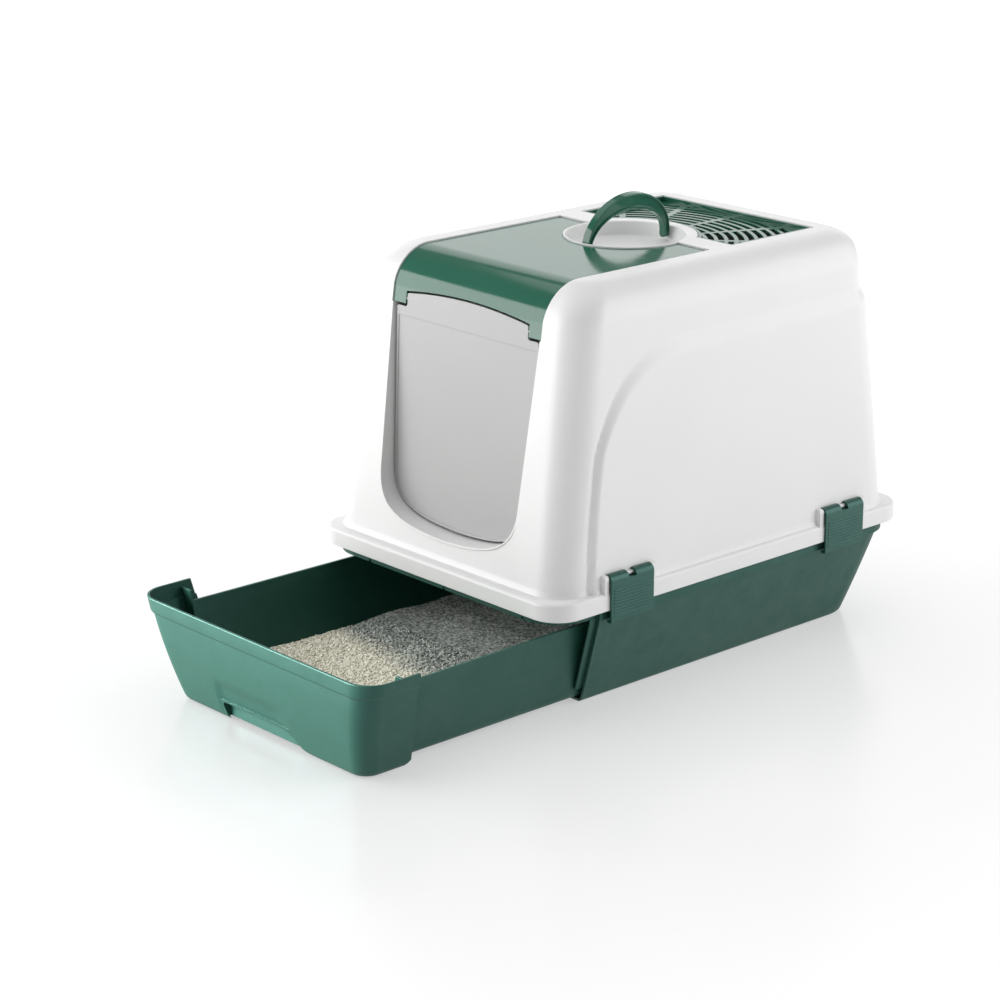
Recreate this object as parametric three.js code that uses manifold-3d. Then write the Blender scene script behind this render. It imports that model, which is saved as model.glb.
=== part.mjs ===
// Hooded cat litter box: a tapered tray with a pull-out litter drawer, a
// moulded hood with a flip-up visor and a swinging entrance door, a folding
// carry handle, a hinged filter cover and four side clips.
//
// Millimetres, +Z up, X across, the entrance faces -Y. The origin is on the
// floor under the middle of the hood's flange. The drawer is pulled out.

import * as THREE from 'three';
import { mergeVertices } from 'three/addons/utils/BufferGeometryUtils.js';
import Module from 'manifold-3d';

const wasm = await Module();
wasm.setup();

// ---------------------------------------------------------------- dimensions

const GAP = 0.35; // between pieces that touch on the real object
const WALL = 2.6; // moulded wall of tray, drawer and hood
const CORNER_STEPS = 5; // facets in a vertical corner
const FAR = 900; // reach of a cutting block

const flange = { halfWidth: 195, halfLength: 274.5, radius: 34, bottom: 118.4, top: 138.3 };

// The hood's wall leans in from its foot to the top, with its own edge
// rounding on the sides, the front and the rear.
const hood = {
  foot: 138.3,
  top: 455,
  halfWidth: 184.5,
  front: -261,
  rear: 255.5,
  sideLean: 0.0457,
  frontLean: 0.1395,
  rearLean: 0.1,
  sideRound: 38,
  frontRound: 52,
  rearRound: 18,
  corner: 37,
};
const roundFrontY = -172; // centre of the front edge rounding

const entrance = { halfTop: 116, halfLow: 110, bottom: 161.5, lowStart: 222, top: 396, backY: -214 };
const visor = {
  halfWidth: 117,
  rearY: 20.8,
  cutRadius: 70,
  sink: 1.5, // below the hood's surface
  thick: 2.5,
  tabBottom: 397.5,
  tabInner: 97,
  archSide: 411,
  archRise: 7,
  ledge: 9,
  axisY: 17,
  axisZ: 449.5,
};
const visorPin = { radius: 1.7, inner: 106, outer: 118.6, lugStart: 104, lugRadius: 3.4, lugTop: 452.5 };
const trough = { inner: 69.3, front: 6.4, floor: 442.8, wall: 2.4 };
const door = { axisY: -220.5, axisZ: 403, thick: 3, side: 2.5, headHalf: 95.3, shoulder: 394.5, tilt: -3.3 };
const doorPin = { radius: 1.6, inner: 87, outer: 106, barrel: 4, barrelStart: 84, bossStart: 98.4, boss: 4.2 };

const dish = { y: 12, radius: 66, lowRadius: 64.2, floor: 438, wall: 3 };
const handle = { halfSpan: 63.2, rise: 55, crown: 18, leg: 6.5, width: 10, pivotZ: 447, pivotR: 4.6, lean: 7 };
const handlePin = { radius: 2.2, length: 9 };

const cover = {
  halfWidth: 117,
  frontY: 57,
  rearY: 188,
  innerArc: 79.5,
  rim: 4,
  bottom: 446.5,
  plate: 449,
  slotStart: 85.6,
  slotPitch: 11.1,
  slotWidth: 5.6,
  slotCount: 9,
};
const pocket = { floor: 434.5, wall: 2.4, seat: 9 };
const filterPad = { thick: 8, inset: 3 };

const clip = {
  width: 63,
  ear: 6.5,
  centres: [-166.7, 166],
  rodX: 190.4,
  rodZ: 152.6,
  rodRadius: 2.1,
  hubRadius: 4.6,
  outerX: 197.8,
  thick: 2.4,
  bottom: 105,
  notch: 11,
  ridges: 9,
};

const tray = {
  height: 108,
  topHalfWidth: 188.5,
  bottomHalfWidth: 145.5,
  topRear: 258,
  bottomRear: 248,
  floor: 3,
  topCorner: 42,
  bottomCorner: 40,
  frontTop: -206,
  frontBottom: -190,
};
const ribFrom = 18; // the rib at the walls' front edges starts above the floor's corner
const crossRibs = [-109, 14, 138];
const rim = { halfWidth: 190, rear: 265, front: -268, top: 134.6, thick: 3, frontBottom: 111, corner: 44 };

// The drawer is drawn 245 mm out of its closed place.
const drawer = {
  lipTop: 114.7,
  bandBottom: 98,
  bandOut: 2.6,
  topHalfWidth: 189.4,
  bottomHalfWidth: 154.5,
  topFront: -520,
  bottomFront: -497,
  topCorner: 27,
  bottomCorner: 20,
  wrapEndTop: -453,
  wrapEndBottom: -437,
  returnY: -468,
  returnTop: 109.5,
  trayTop: 98.5,
  trayBottom: 4.6,
  trayTopHalf: 170,
  trayRearTopHalf: 162,
  trayBottomHalf: 142.6,
  rearY: -16,
};
const pullGrip = { halfWidth: 70, height: 21, backY: -480 };
const litter = { level: 28 };

// ------------------------------------------------------------------- helpers

function solid(geometry) {
  const bare = geometry.index ? geometry.toNonIndexed() : geometry.clone();
  bare.deleteAttribute('normal');
  bare.deleteAttribute('uv');
  const merged = mergeVertices(bare, 1e-4);
  const mesh = new wasm.Mesh({
    numProp: 3,
    vertProperties: new Float32Array(merged.attributes.position.array),
    triVerts: new Uint32Array(merged.index.array),
  });
  return new wasm.Manifold(mesh);
}

function geometryOf(body) {
  const mesh = body.getMesh();
  const geometry = new THREE.BufferGeometry();
  geometry.setAttribute('position', new THREE.BufferAttribute(mesh.vertProperties, 3));
  geometry.setIndex(new THREE.BufferAttribute(mesh.triVerts, 1));
  geometry.computeVertexNormals();
  return geometry;
}

function box(x0, x1, y0, y1, z0, z1) {
  const geometry = new THREE.BoxGeometry(x1 - x0, y1 - y0, z1 - z0);
  geometry.translate((x0 + x1) / 2, (y0 + y1) / 2, (z0 + z1) / 2);
  return solid(geometry);
}

// A rounded rectangle as a closed ring of points at one height.
function ring({ left, right, front, back, radius, z }) {
  const corners = [
    [right - radius, back - radius, 0],
    [left + radius, back - radius, 90],
    [left + radius, front + radius, 180],
    [right - radius, front + radius, 270],
  ];
  const points = [];
  for (const [x, y, start] of corners) {
    for (let i = 0; i <= CORNER_STEPS; i += 1) {
      const angle = THREE.MathUtils.degToRad(start + (90 * i) / CORNER_STEPS);
      points.push(new THREE.Vector3(x + radius * Math.cos(angle), y + radius * Math.sin(angle), z));
    }
  }
  return points;
}

// A closed body through a stack of rings with equal point counts.
function loft(rings) {
  const count = rings[0].length;
  const positions = [];
  const index = [];
  for (const points of rings) {
    for (const point of points) positions.push(point.x, point.y, point.z);
  }
  for (let level = 0; level < rings.length - 1; level += 1) {
    for (let i = 0; i < count; i += 1) {
      const a = level * count + i;
      const b = level * count + ((i + 1) % count);
      index.push(a, b, b + count, a, b + count, a + count);
    }
  }
  const outline = rings[0].map((point) => new THREE.Vector2(point.x, point.y));
  const last = (rings.length - 1) * count;
  for (const [a, b, c] of THREE.ShapeUtils.triangulateShape(outline, [])) {
    index.push(a, c, b);
    index.push(last + a, last + b, last + c);
  }
  const geometry = new THREE.BufferGeometry();
  geometry.setAttribute('position', new THREE.Float32BufferAttribute(positions, 3));
  geometry.setIndex(index);
  return solid(geometry);
}

function mirrorRing(halfWidth, front, back, radius, z) {
  return ring({ left: -halfWidth, right: halfWidth, front, back, radius, z });
}

// An outline in X and Y, raised from z0 to z1.
function plate(shape, z0, z1, curveSegments = 24) {
  const geometry = new THREE.ExtrudeGeometry(shape, { depth: z1 - z0, bevelEnabled: false, curveSegments });
  geometry.translate(0, 0, z0);
  return solid(geometry);
}

// An outline in X and Z, carried along Y from y0 to y1.
function alongY(shape, y0, y1, curveSegments = 12) {
  const geometry = new THREE.ExtrudeGeometry(shape, { depth: y1 - y0, bevelEnabled: false, curveSegments });
  geometry.rotateX(Math.PI / 2);
  geometry.translate(0, y1, 0);
  return solid(geometry);
}

// An outline in Y and Z, carried along X from x0 to x1.
function alongX(shape, x0, x1, curveSegments = 12) {
  const geometry = new THREE.ExtrudeGeometry(shape, { depth: x1 - x0, bevelEnabled: false, curveSegments });
  const turn = new THREE.Matrix4().set(0, 0, 1, 0, 1, 0, 0, 0, 0, 1, 0, 0, 0, 0, 0, 1);
  geometry.applyMatrix4(turn);
  geometry.translate(x0, 0, 0);
  return solid(geometry);
}

function rodAlong(axis, radius, from, to, centre, sides = 16) {
  const geometry = new THREE.CylinderGeometry(radius, radius, to - from, sides);
  const middle = (from + to) / 2;
  if (axis === 'x') {
    geometry.rotateZ(Math.PI / 2);
    geometry.translate(middle, centre[0], centre[1]);
  } else {
    geometry.translate(centre[0], middle, centre[1]);
  }
  return solid(geometry);
}

function disc(radiusLow, radiusHigh, z0, z1, y, sides = 48) {
  const geometry = new THREE.CylinderGeometry(radiusHigh, radiusLow, z1 - z0, sides);
  geometry.rotateX(Math.PI / 2);
  geometry.translate(0, y, (z0 + z1) / 2);
  return solid(geometry);
}

function polygon(points) {
  return new THREE.Shape(points.map(([a, b]) => new THREE.Vector2(a, b)));
}

function mix(a, b, t) {
  return a + (b - a) * t;
}

// Fuller near the top: a wall that tucks in faster as it nears the floor.
function tuck(t) {
  return 0.31 * t + 0.69 * t * t;
}

// ---------------------------------------------------------------- hood shape

function edgeInset(radius, centreZ, z) {
  if (z <= centreZ) return 0;
  const up = Math.min(z - centreZ, radius);
  return radius - Math.sqrt(radius * radius - up * up);
}

// The hood's outer body drawn in by an inset, from a start height to its top.
function hoodBody(inset, startZ) {
  const lean = hood.frontRound - inset;
  const centreZ = hood.top - hood.frontRound;
  const heights = [startZ, 300, centreZ + lean * 0.1385];
  for (let i = 1; i <= 6; i += 1) {
    const angle = THREE.MathUtils.degToRad(8 + (82 * i) / 6);
    heights.push(centreZ + lean * Math.sin(angle));
  }
  const rings = heights.map((z) => {
    const up = z - hood.foot;
    const sideInset = edgeInset(hood.sideRound - inset, hood.top - hood.sideRound, z);
    const rearInset = edgeInset(hood.rearRound - inset, hood.top - hood.rearRound, z);
    const halfWidth = hood.halfWidth - hood.sideLean * up - inset - sideInset;
    const back = hood.rear - hood.rearLean * up - inset - rearInset;
    const flat = hood.front + hood.frontLean * up + inset;
    const rise = Math.min(z - centreZ, lean);
    const curved = roundFrontY - Math.sqrt(Math.max(lean * lean - rise * rise, 0));
    const front = z > centreZ + lean * 0.139 ? curved : flat;
    const radius = Math.max(hood.corner - inset - 0.45 * sideInset, 6);
    return mirrorRing(halfWidth, front, back, radius, z);
  });
  return loft(rings);
}

function entranceOutline(grow) {
  const low = entrance.halfLow + grow;
  const high = entrance.halfTop + grow;
  const bottom = entrance.bottom - grow;
  const shape = new THREE.Shape();
  shape.moveTo(high, 520);
  shape.lineTo(-high, 520);
  shape.lineTo(-high, entrance.top);
  shape.lineTo(-low, entrance.lowStart);
  shape.bezierCurveTo(-low + 0.5, 180, -88, bottom + 1.5, 0, bottom);
  shape.bezierCurveTo(88, bottom + 1.5, low - 0.5, 180, low, entrance.lowStart);
  shape.lineTo(high, entrance.top);
  return shape;
}

// The visor's outline from above, from its rear ears over the front edge.
function visorPlan(gap) {
  const half = visor.halfWidth - gap;
  const rear = visor.rearY - gap;
  const cut = visor.cutRadius + gap;
  const side = Math.sqrt(cut * cut - (rear - dish.y) ** 2);
  const shape = new THREE.Shape();
  shape.moveTo(-half, -330);
  shape.lineTo(half, -330);
  shape.lineTo(half, rear);
  shape.lineTo(side, rear);
  const from = Math.atan2(rear - dish.y, side);
  shape.absarc(0, dish.y, cut, from, Math.PI - from, true);
  shape.lineTo(-half, rear);
  return shape;
}

function visorLowerEdge() {
  const inner = visor.tabInner;
  const shape = new THREE.Shape();
  shape.moveTo(-FAR, -FAR);
  shape.lineTo(FAR, -FAR);
  shape.lineTo(FAR, visor.tabBottom);
  shape.lineTo(inner, visor.tabBottom);
  shape.lineTo(inner, visor.archSide);
  shape.quadraticCurveTo(0, visor.archSide + 2 * visor.archRise, -inner, visor.archSide);
  shape.lineTo(-inner, visor.tabBottom);
  shape.lineTo(-FAR, visor.tabBottom);
  return shape;
}

function coverOutline(gap) {
  const half = cover.halfWidth - gap;
  const front = cover.frontY + gap;
  const rear = cover.rearY - gap;
  const arc = cover.innerArc + gap;
  const side = Math.sqrt(arc * arc - (front - dish.y) ** 2);
  const from = Math.atan2(front - dish.y, side);
  const shape = new THREE.Shape();
  shape.moveTo(-half, front);
  shape.lineTo(-side, front);
  shape.absarc(0, dish.y, arc, Math.PI - from, from, true);
  shape.lineTo(half, front);
  shape.lineTo(half, rear);
  shape.lineTo(-half, rear);
  return shape;
}

// Two distances from the middle as a range along X, on either side.
function span(side, near, far) {
  return side > 0 ? [near, far] : [-far, -near];
}

// The hidden trough in the roof that the visor's rear lugs turn in.
function hingeTrough(side) {
  const { inner, front, floor, wall } = trough;
  const outer = visor.halfWidth + 0.2;
  const rear = visor.rearY + 1.2;
  const walls = box(...span(side, inner - wall, outer + wall), front - wall, rear + wall, floor - wall, 450.5);
  const room = box(...span(side, inner, outer), front, rear, floor, 470);
  return { walls, room };
}

// The ears on both sides of a clip and the rod between them.
function clipEars(side, centreY) {
  const profile = new THREE.Shape();
  profile.moveTo(180, 136);
  profile.lineTo(194.5, 136);
  profile.lineTo(194.5, 151);
  profile.absarc(clip.rodX, 152.2, 4.4, 0, Math.PI / 2, false);
  profile.lineTo(180, 156.6);
  const half = clip.width / 2;
  const first = alongY(profile, centreY - half - clip.ear, centreY - half, 6);
  const second = alongY(profile, centreY + half, centreY + half + clip.ear, 6);
  const from = centreY - half - 1;
  const rod = rodAlong('y', clip.rodRadius, from, centreY + half + 1, [clip.rodX, clip.rodZ], 12);
  const ears = first.add(second).add(rod);
  return side > 0 ? ears : ears.mirror([1, 0, 0]);
}

function makeHood() {
  const skirtRing = (inset, z) => mirrorRing(
    flange.halfWidth - inset,
    -flange.halfLength + inset,
    flange.halfLength - inset,
    flange.radius - inset,
    z,
  );
  const skirt = loft([
    skirtRing(0, flange.bottom),
    skirtRing(0, flange.top - 3.5),
    skirtRing(1.2, flange.top - 1),
    skirtRing(4, flange.top),
  ]);
  const skirtRoom = loft([
    skirtRing(WALL, flange.bottom - 1),
    skirtRing(WALL, flange.top - WALL - 0.4),
  ]);
  let body = hoodBody(0, flange.top - 1.5).add(skirt);
  body = body.subtract(hoodBody(WALL, flange.bottom)).subtract(skirtRoom);

  // A ledge under the visor, and the frame that the door hangs in.
  const under = visor.sink + visor.thick + GAP;
  const visorRoom = plate(visorPlan(-GAP), 380, 520);
  const ledge = hoodBody(under, 200).subtract(hoodBody(under + 2.4, 190));
  const tabsOnly = box(-FAR, FAR, -FAR, FAR, visor.tabBottom - 8, FAR);
  body = body.add(ledge.intersect(plate(visorPlan(-2.5), 380, 520)).intersect(tabsOnly));
  const frame = alongY(entranceOutline(WALL), -280, entrance.backY);
  const lowFrame = frame.intersect(hoodBody(0, 139)).intersect(box(-FAR, FAR, -FAR, FAR, 0, visor.tabBottom - 1));
  body = body.add(lowFrame);

  // The handle dish, the filter pocket and the visor's hinge troughs.
  const cupRadius = dish.radius + dish.wall;
  body = body.add(disc(cupRadius - 3, cupRadius, dish.floor - WALL, hood.top, dish.y));
  const pocketWalls = plate(coverOutline(-pocket.wall), pocket.floor - 2, hood.top - 0.5);
  body = body.add(pocketWalls);
  const troughs = [hingeTrough(1), hingeTrough(-1)];
  for (const { walls } of troughs) body = body.add(walls);

  for (const side of [1, -1]) {
    for (const centreY of clip.centres) body = body.add(clipEars(side, centreY));
  }

  body = body.subtract(disc(dish.lowRadius, dish.radius, dish.floor, hood.top + 1, dish.y));
  body = body.subtract(plate(coverOutline(-GAP), pocket.floor, hood.top + 5));
  const airHalf = cover.halfWidth - pocket.seat;
  const airRear = cover.rearY - pocket.seat;
  const airWindow = box(-airHalf, airHalf, 106, airRear, 400, hood.top);
  const seatRibs = box(-40, -36, 100, 180, 400, 500).add(box(36, 40, 100, 180, 400, 500));
  body = body.subtract(airWindow.subtract(seatRibs));
  for (const { room } of troughs) body = body.subtract(room);
  body = body.subtract(visorRoom.subtract(hoodBody(under, 190)).intersect(
    box(-FAR, FAR, -FAR, FAR, visor.tabBottom - GAP, FAR),
  ));
  body = body.subtract(alongY(entranceOutline(0), -300, entrance.backY + 1).intersect(
    box(-FAR, FAR, -FAR, FAR, 0, visor.tabBottom),
  ));
  const openHalf = visor.halfWidth - visor.ledge;
  body = body.subtract(box(-openHalf, openHalf, -300, -78, visor.tabBottom - 3, 470));

  // Holes for the visor's and the handle's pins.
  const pinHole = visorPin.radius + GAP;
  const pinAxis = [visor.axisY, visor.axisZ];
  for (const side of [1, -1]) {
    const ends = span(side, visor.halfWidth - 4, visor.halfWidth + 2);
    body = body.subtract(rodAlong('x', pinHole, ...ends, pinAxis, 12));
    const inner = dish.y + side * (dish.lowRadius - 4);
    const outer = dish.y + side * (dish.radius + 2.2);
    const hole = [Math.min(inner, outer), Math.max(inner, outer)];
    body = body.subtract(rodAlong('y', handlePin.radius + GAP, hole[0], hole[1], [0, handle.pivotZ], 12));
  }
  return body;
}

function makeVisor() {
  const skin = hoodBody(visor.sink, 200).subtract(hoodBody(visor.sink + visor.thick, 190));
  let body = skin.intersect(plate(visorPlan(0), 380, 520));
  body = body.subtract(alongY(visorLowerEdge(), -400, -150));
  // The rear half of the skin below the tabs' level is not part of the visor.
  body = body.intersect(box(-FAR, FAR, -FAR, FAR, visor.tabBottom, FAR));
  const doorAxis = [door.axisY, door.axisZ];
  const visorAxis = [visor.axisY, visor.axisZ];
  const lugShape = new THREE.Shape();
  lugShape.moveTo(visor.axisY - visorPin.lugRadius, visor.axisZ);
  lugShape.absarc(visor.axisY, visor.axisZ, visorPin.lugRadius, Math.PI, 2 * Math.PI, false);
  lugShape.lineTo(visor.axisY + visorPin.lugRadius, visorPin.lugTop);
  lugShape.lineTo(visor.axisY - visorPin.lugRadius, visorPin.lugTop);
  // Bosses behind the tabs take the door's pins, lugs at the rear the visor's own.
  for (const side of [1, -1]) {
    const bossEnds = span(side, doorPin.bossStart, doorPin.outer + 1.4);
    body = body.add(rodAlong('x', doorPin.boss, ...bossEnds, doorAxis, 16));
    const holeEnds = span(side, doorPin.bossStart - 3, doorPin.outer);
    body = body.subtract(rodAlong('x', doorPin.radius + GAP, ...holeEnds, doorAxis, 12));
    body = body.add(alongX(lugShape, ...span(side, visorPin.lugStart, 112), 8));
    const boreEnds = span(side, visorPin.inner, visorPin.outer);
    body = body.subtract(rodAlong('x', visorPin.radius + GAP, ...boreEnds, visorAxis, 12));
  }
  // The rear edge is eased so that it turns clear of the roof.
  body = body.subtract(alongX(polygon([
    [visor.rearY - 1.1, 460],
    [visor.rearY - 1.1, 453.6],
    [visor.rearY, 452.4],
    [visor.rearY + 3, 452.4],
    [visor.rearY + 3, 460],
  ]), -130, 130));
  return body;
}

function makeDoor() {
  const y0 = door.axisY - door.thick / 2;
  const panel = alongY(entranceOutline(-door.side), y0, y0 + door.thick);
  const below = box(-FAR, FAR, -FAR, FAR, 0, door.shoulder);
  const head = new THREE.Shape();
  const half = door.headHalf;
  head.moveTo(-half, door.shoulder - 1);
  head.lineTo(half, door.shoulder - 1);
  head.lineTo(half, visor.archSide - 2);
  head.quadraticCurveTo(0, visor.archSide + 2 * visor.archRise - 2, -half, visor.archSide - 2);
  let body = panel.intersect(below).add(alongY(head, y0, y0 + door.thick));
  // It hangs with its foot forward, nearly level with the hood's leaning front.
  body = body.translate([0, -door.axisY, -door.axisZ]).rotate([door.tilt, 0, 0]);
  body = body.translate([0, door.axisY, door.axisZ]);
  for (const side of [1, -1]) {
    const barrel = span(side, doorPin.barrelStart, half);
    body = body.add(rodAlong('x', doorPin.barrel, ...barrel, [door.axisY, door.axisZ], 16));
    const bore = span(side, doorPin.inner, half + 1);
    body = body.subtract(rodAlong('x', doorPin.radius + GAP, ...bore, [door.axisY, door.axisZ], 12));
  }
  return body;
}

function makeDoorPin(side) {
  const ends = span(side, doorPin.inner + GAP, doorPin.outer - GAP);
  return rodAlong('x', doorPin.radius, ...ends, [door.axisY, door.axisZ], 12);
}

function makeVisorPin(side) {
  const ends = span(side, visorPin.inner + GAP, visorPin.outer);
  return rodAlong('x', visorPin.radius, ...ends, [visor.axisY, visor.axisZ], 12);
}

// -------------------------------------------------------------- carry handle

function makeHandle() {
  const { halfSpan, rise, crown, leg, width, pivotZ, pivotR } = handle;
  const steps = 18;
  const outer = [];
  const inner = [];
  for (let i = 0; i <= steps; i += 1) {
    const angle = (Math.PI * i) / steps;
    const across = Math.cos(angle);
    const up = Math.sin(angle);
    outer.push([dish.y + halfSpan * across, pivotZ + rise * up]);
    inner.push([dish.y + (halfSpan - leg) * across, pivotZ + (rise - crown) * up]);
  }
  const outline = [...outer, ...inner.reverse()];
  let body = alongX(polygon(outline), -width / 2, width / 2);
  for (const side of [1, -1]) {
    const centre = dish.y + side * (halfSpan - leg / 2);
    const from = centre - leg / 2;
    const to = centre + leg / 2;
    body = body.add(rodAlong('y', pivotR, from, to, [0, pivotZ], 16));
    const bore = [from - 1, to + 1];
    body = body.subtract(rodAlong('y', handlePin.radius + GAP, bore[0], bore[1], [0, pivotZ], 12));
  }
  // The crown is an I-section: shallow channels along both faces.
  const channelOuter = [];
  const channelInner = [];
  for (let i = 0; i <= steps; i += 1) {
    const angle = THREE.MathUtils.degToRad(22 + (136 * i) / steps);
    channelOuter.push([
      dish.y + (halfSpan - 2.2) * Math.cos(angle),
      pivotZ + (rise - 3) * Math.sin(angle),
    ]);
    channelInner.push([
      dish.y + (halfSpan - leg + 2.2) * Math.cos(angle),
      pivotZ + (rise - crown + 3) * Math.sin(angle),
    ]);
  }
  const channel = polygon([...channelOuter, ...channelInner.reverse()]);
  body = body.subtract(alongX(channel, width / 2 - 2, width / 2 + 1));
  body = body.subtract(alongX(channel, -width / 2 - 1, -width / 2 + 2));
  // It stands a little over towards +X.
  return body.translate([0, 0, -pivotZ]).rotate([0, handle.lean, 0]).translate([0, 0, pivotZ]);
}

function makeHandlePin(side) {
  const inner = dish.y + side * (handle.halfSpan - handle.leg + 0.6);
  const outer = inner + side * handlePin.length;
  const ends = [inner, outer].sort((a, b) => a - b);
  return rodAlong('y', handlePin.radius, ends[0], ends[1], [0, handle.pivotZ], 12);
}

// -------------------------------------------------------------- filter cover

function arcSlot(radius, fromDeg, toDeg) {
  const half = cover.slotWidth / 2;
  const from = THREE.MathUtils.degToRad(fromDeg);
  const to = THREE.MathUtils.degToRad(toDeg);
  const shape = new THREE.Shape();
  shape.absarc(0, dish.y, radius + half, from, to, false);
  shape.absarc(0, dish.y, radius - half, to, from, true);
  shape.closePath();
  return plate(shape, 430, 470, 5);
}

function makeCover() {
  let body = plate(coverOutline(0), cover.bottom, hood.top - 0.4);
  body = body.subtract(plate(coverOutline(cover.rim), cover.plate, hood.top + 5));
  const field = plate(coverOutline(cover.rim + 3), 430, 470);
  const bars = [[16, 41], [45, 64], [68, 88], [92, 112], [116, 135], [139, 164]];
  for (let i = 0; i < cover.slotCount; i += 1) {
    const radius = cover.slotStart + cover.slotPitch * i;
    for (const [from, to] of bars) {
      const cut = arcSlot(radius, from, to).intersect(field);
      if (cut.volume() > 60) body = body.subtract(cut);
    }
  }
  // A finger tab at the front corner lifts the cover.
  const tab = box(74, 90, cover.frontY - 0.5, cover.frontY + 3, cover.bottom, hood.top - 2);
  return body.add(tab.intersect(plate(coverOutline(0), 430, 470)));
}

function makeFilter() {
  const outline = coverOutline(filterPad.inset);
  return plate(outline, pocket.floor + GAP, pocket.floor + GAP + filterPad.thick);
}

// ---------------------------------------------------------------- side clips

function makeClip(side, centreY) {
  const half = clip.width / 2 - 0.5;
  const y0 = centreY - half;
  const y1 = centreY + half;
  const inner = clip.outerX - clip.thick;
  const flap = new THREE.Shape();
  flap.moveTo(inner, 148);
  flap.lineTo(inner, clip.bottom + 4.5);
  flap.lineTo(191.2, clip.bottom + 2.6);
  flap.lineTo(191.2, clip.bottom);
  flap.lineTo(clip.outerX - 1.5, clip.bottom);
  flap.lineTo(clip.outerX, clip.bottom + 2);
  flap.lineTo(clip.outerX, 149);
  flap.lineTo(clip.rodX + 2.4, 157.2);
  flap.lineTo(clip.rodX, 157.2);
  flap.lineTo(clip.rodX, 154);
  let body = alongY(flap, y0, y1);
  body = body.add(rodAlong('y', clip.hubRadius, y0, y1, [clip.rodX, clip.rodZ], 20));
  body = body.subtract(rodAlong('y', clip.rodRadius + GAP, y0 - 1, y1 + 1, [clip.rodX, clip.rodZ], 12));
  // Room for the hood's flange edge and ears, and the notch that shows the rod.
  body = body.subtract(box(150, 195 + GAP + 0.1, -FAR, FAR, 112, 139));
  const notchHalf = clip.notch / 2;
  body = body.subtract(box(180, 200, centreY - notchHalf, centreY + notchHalf, 150.4, 160));
  for (let i = 0; i < clip.ridges; i += 1) {
    const z = 112 + i * 3.4;
    const ridge = polygon([[clip.outerX - 0.5, z], [clip.outerX + 0.7, z + 0.9], [clip.outerX - 0.5, z + 1.8]]);
    body = body.add(alongY(ridge, y0 + 4, y1 - 4));
  }
  return side > 0 ? body : body.mirror([1, 0, 0]);
}

// ---------------------------------------------------------------- base tray

function trayBody(inset, lowZ, topZ) {
  const steps = [0, 0.2, 0.42, 0.66, 1];
  const rings = steps.map((s) => {
    const z = mix(lowZ, topZ, s);
    const t = Math.min(Math.max(1 - z / tray.height, 0), 1);
    const halfWidth = mix(tray.topHalfWidth, tray.bottomHalfWidth, t) - inset;
    const rear = mix(tray.topRear, tray.bottomRear, tuck(t)) - inset;
    const radius = mix(tray.topCorner, tray.bottomCorner, t) - inset;
    return mirrorRing(halfWidth, -300, rear, radius, z);
  });
  return loft(rings);
}

// Everything in front of the slanted front edge of the tray's side walls.
function aheadOfTray(shift) {
  const topZ = tray.height + 3;
  return alongX(polygon([
    [-FAR, -10],
    [tray.frontBottom + shift, -10],
    [tray.frontBottom + shift, 0],
    [tray.frontTop + shift, topZ],
    [-FAR, topZ],
  ]), -FAR / 2, FAR / 2);
}

function rimTube(halfWidth, front, rear, z0, z1, thick) {
  const outside = loft([
    mirrorRing(halfWidth, front, rear, rim.corner, z0),
    mirrorRing(halfWidth, front, rear, rim.corner, z1),
  ]);
  const inside = loft([
    mirrorRing(halfWidth - thick, front + thick, rear - thick, rim.corner - thick, z0 - 1),
    mirrorRing(halfWidth - thick, front + thick, rear - thick, rim.corner - thick, z1 + 1),
  ]);
  return outside.subtract(inside);
}

function makeTray() {
  const tub = trayBody(0, 0, tray.height + 2).subtract(trayBody(WALL, tray.floor, tray.height + 6));
  let body = tub.subtract(aheadOfTray(0));
  // A set-back rib carries the side walls' front edges into the drawer's wrap.
  const above = box(-FAR, FAR, -FAR, FAR, ribFrom, FAR);
  const rib = trayBody(4.2, 0, tray.height + 2).subtract(trayBody(6.2, tray.floor, tray.height + 6));
  body = body.add(rib.intersect(aheadOfTray(4)).subtract(aheadOfTray(-9)).intersect(above));
  const joggle = trayBody(1, 0, tray.height + 2).subtract(trayBody(6.2, tray.floor, tray.height + 6));
  body = body.add(joggle.intersect(aheadOfTray(4)).subtract(aheadOfTray(1)).intersect(above));
  // The rim: a lower band level with the walls and a collar inside the flange.
  const band = rimTube(rim.halfWidth, rim.front, rim.rear, tray.height, flange.bottom, 8.5);
  const behind = box(-FAR, FAR, tray.frontTop - 1, FAR, 0, 200);
  body = body.add(band.intersect(behind));
  const crossbar = rimTube(185.4, rim.front, rim.rear - 4, rim.frontBottom, flange.bottom + 1, 5);
  body = body.add(crossbar.subtract(box(-FAR, FAR, tray.frontTop + 2, FAR, 0, 200)));
  body = body.add(rimTube(rim.halfWidth, rim.front - 1.5, rim.rear, flange.bottom - 1, rim.top, rim.thick));
  body = body.add(rimTube(rim.halfWidth, rim.front - 1.5, rim.rear, flange.bottom - 1, flange.bottom + 1.5, 8.5));
  // Short ribs stiffen the crossbar from behind.
  for (const x of crossRibs) {
    body = body.add(box(x - 1.5, x + 1.5, rim.front + 3, rim.front + 12, rim.frontBottom, flange.bottom + 1));
  }
  return body;
}

// ------------------------------------------------------------------- drawer

function fasciaBody(inset, lowZ, topZ) {
  const steps = [0, 0.25, 0.5, 0.75, 1];
  const rings = steps.map((s) => {
    const z = mix(lowZ, topZ, s);
    const t = Math.min(Math.max(1 - z / drawer.lipTop, 0), 1);
    const halfWidth = mix(drawer.topHalfWidth, drawer.bottomHalfWidth, t) - inset;
    const front = mix(drawer.topFront, drawer.bottomFront, tuck(t)) + inset;
    const radius = mix(drawer.topCorner, drawer.bottomCorner, t) - inset;
    return mirrorRing(halfWidth, front, -300, radius, z);
  });
  return loft(rings);
}

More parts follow.
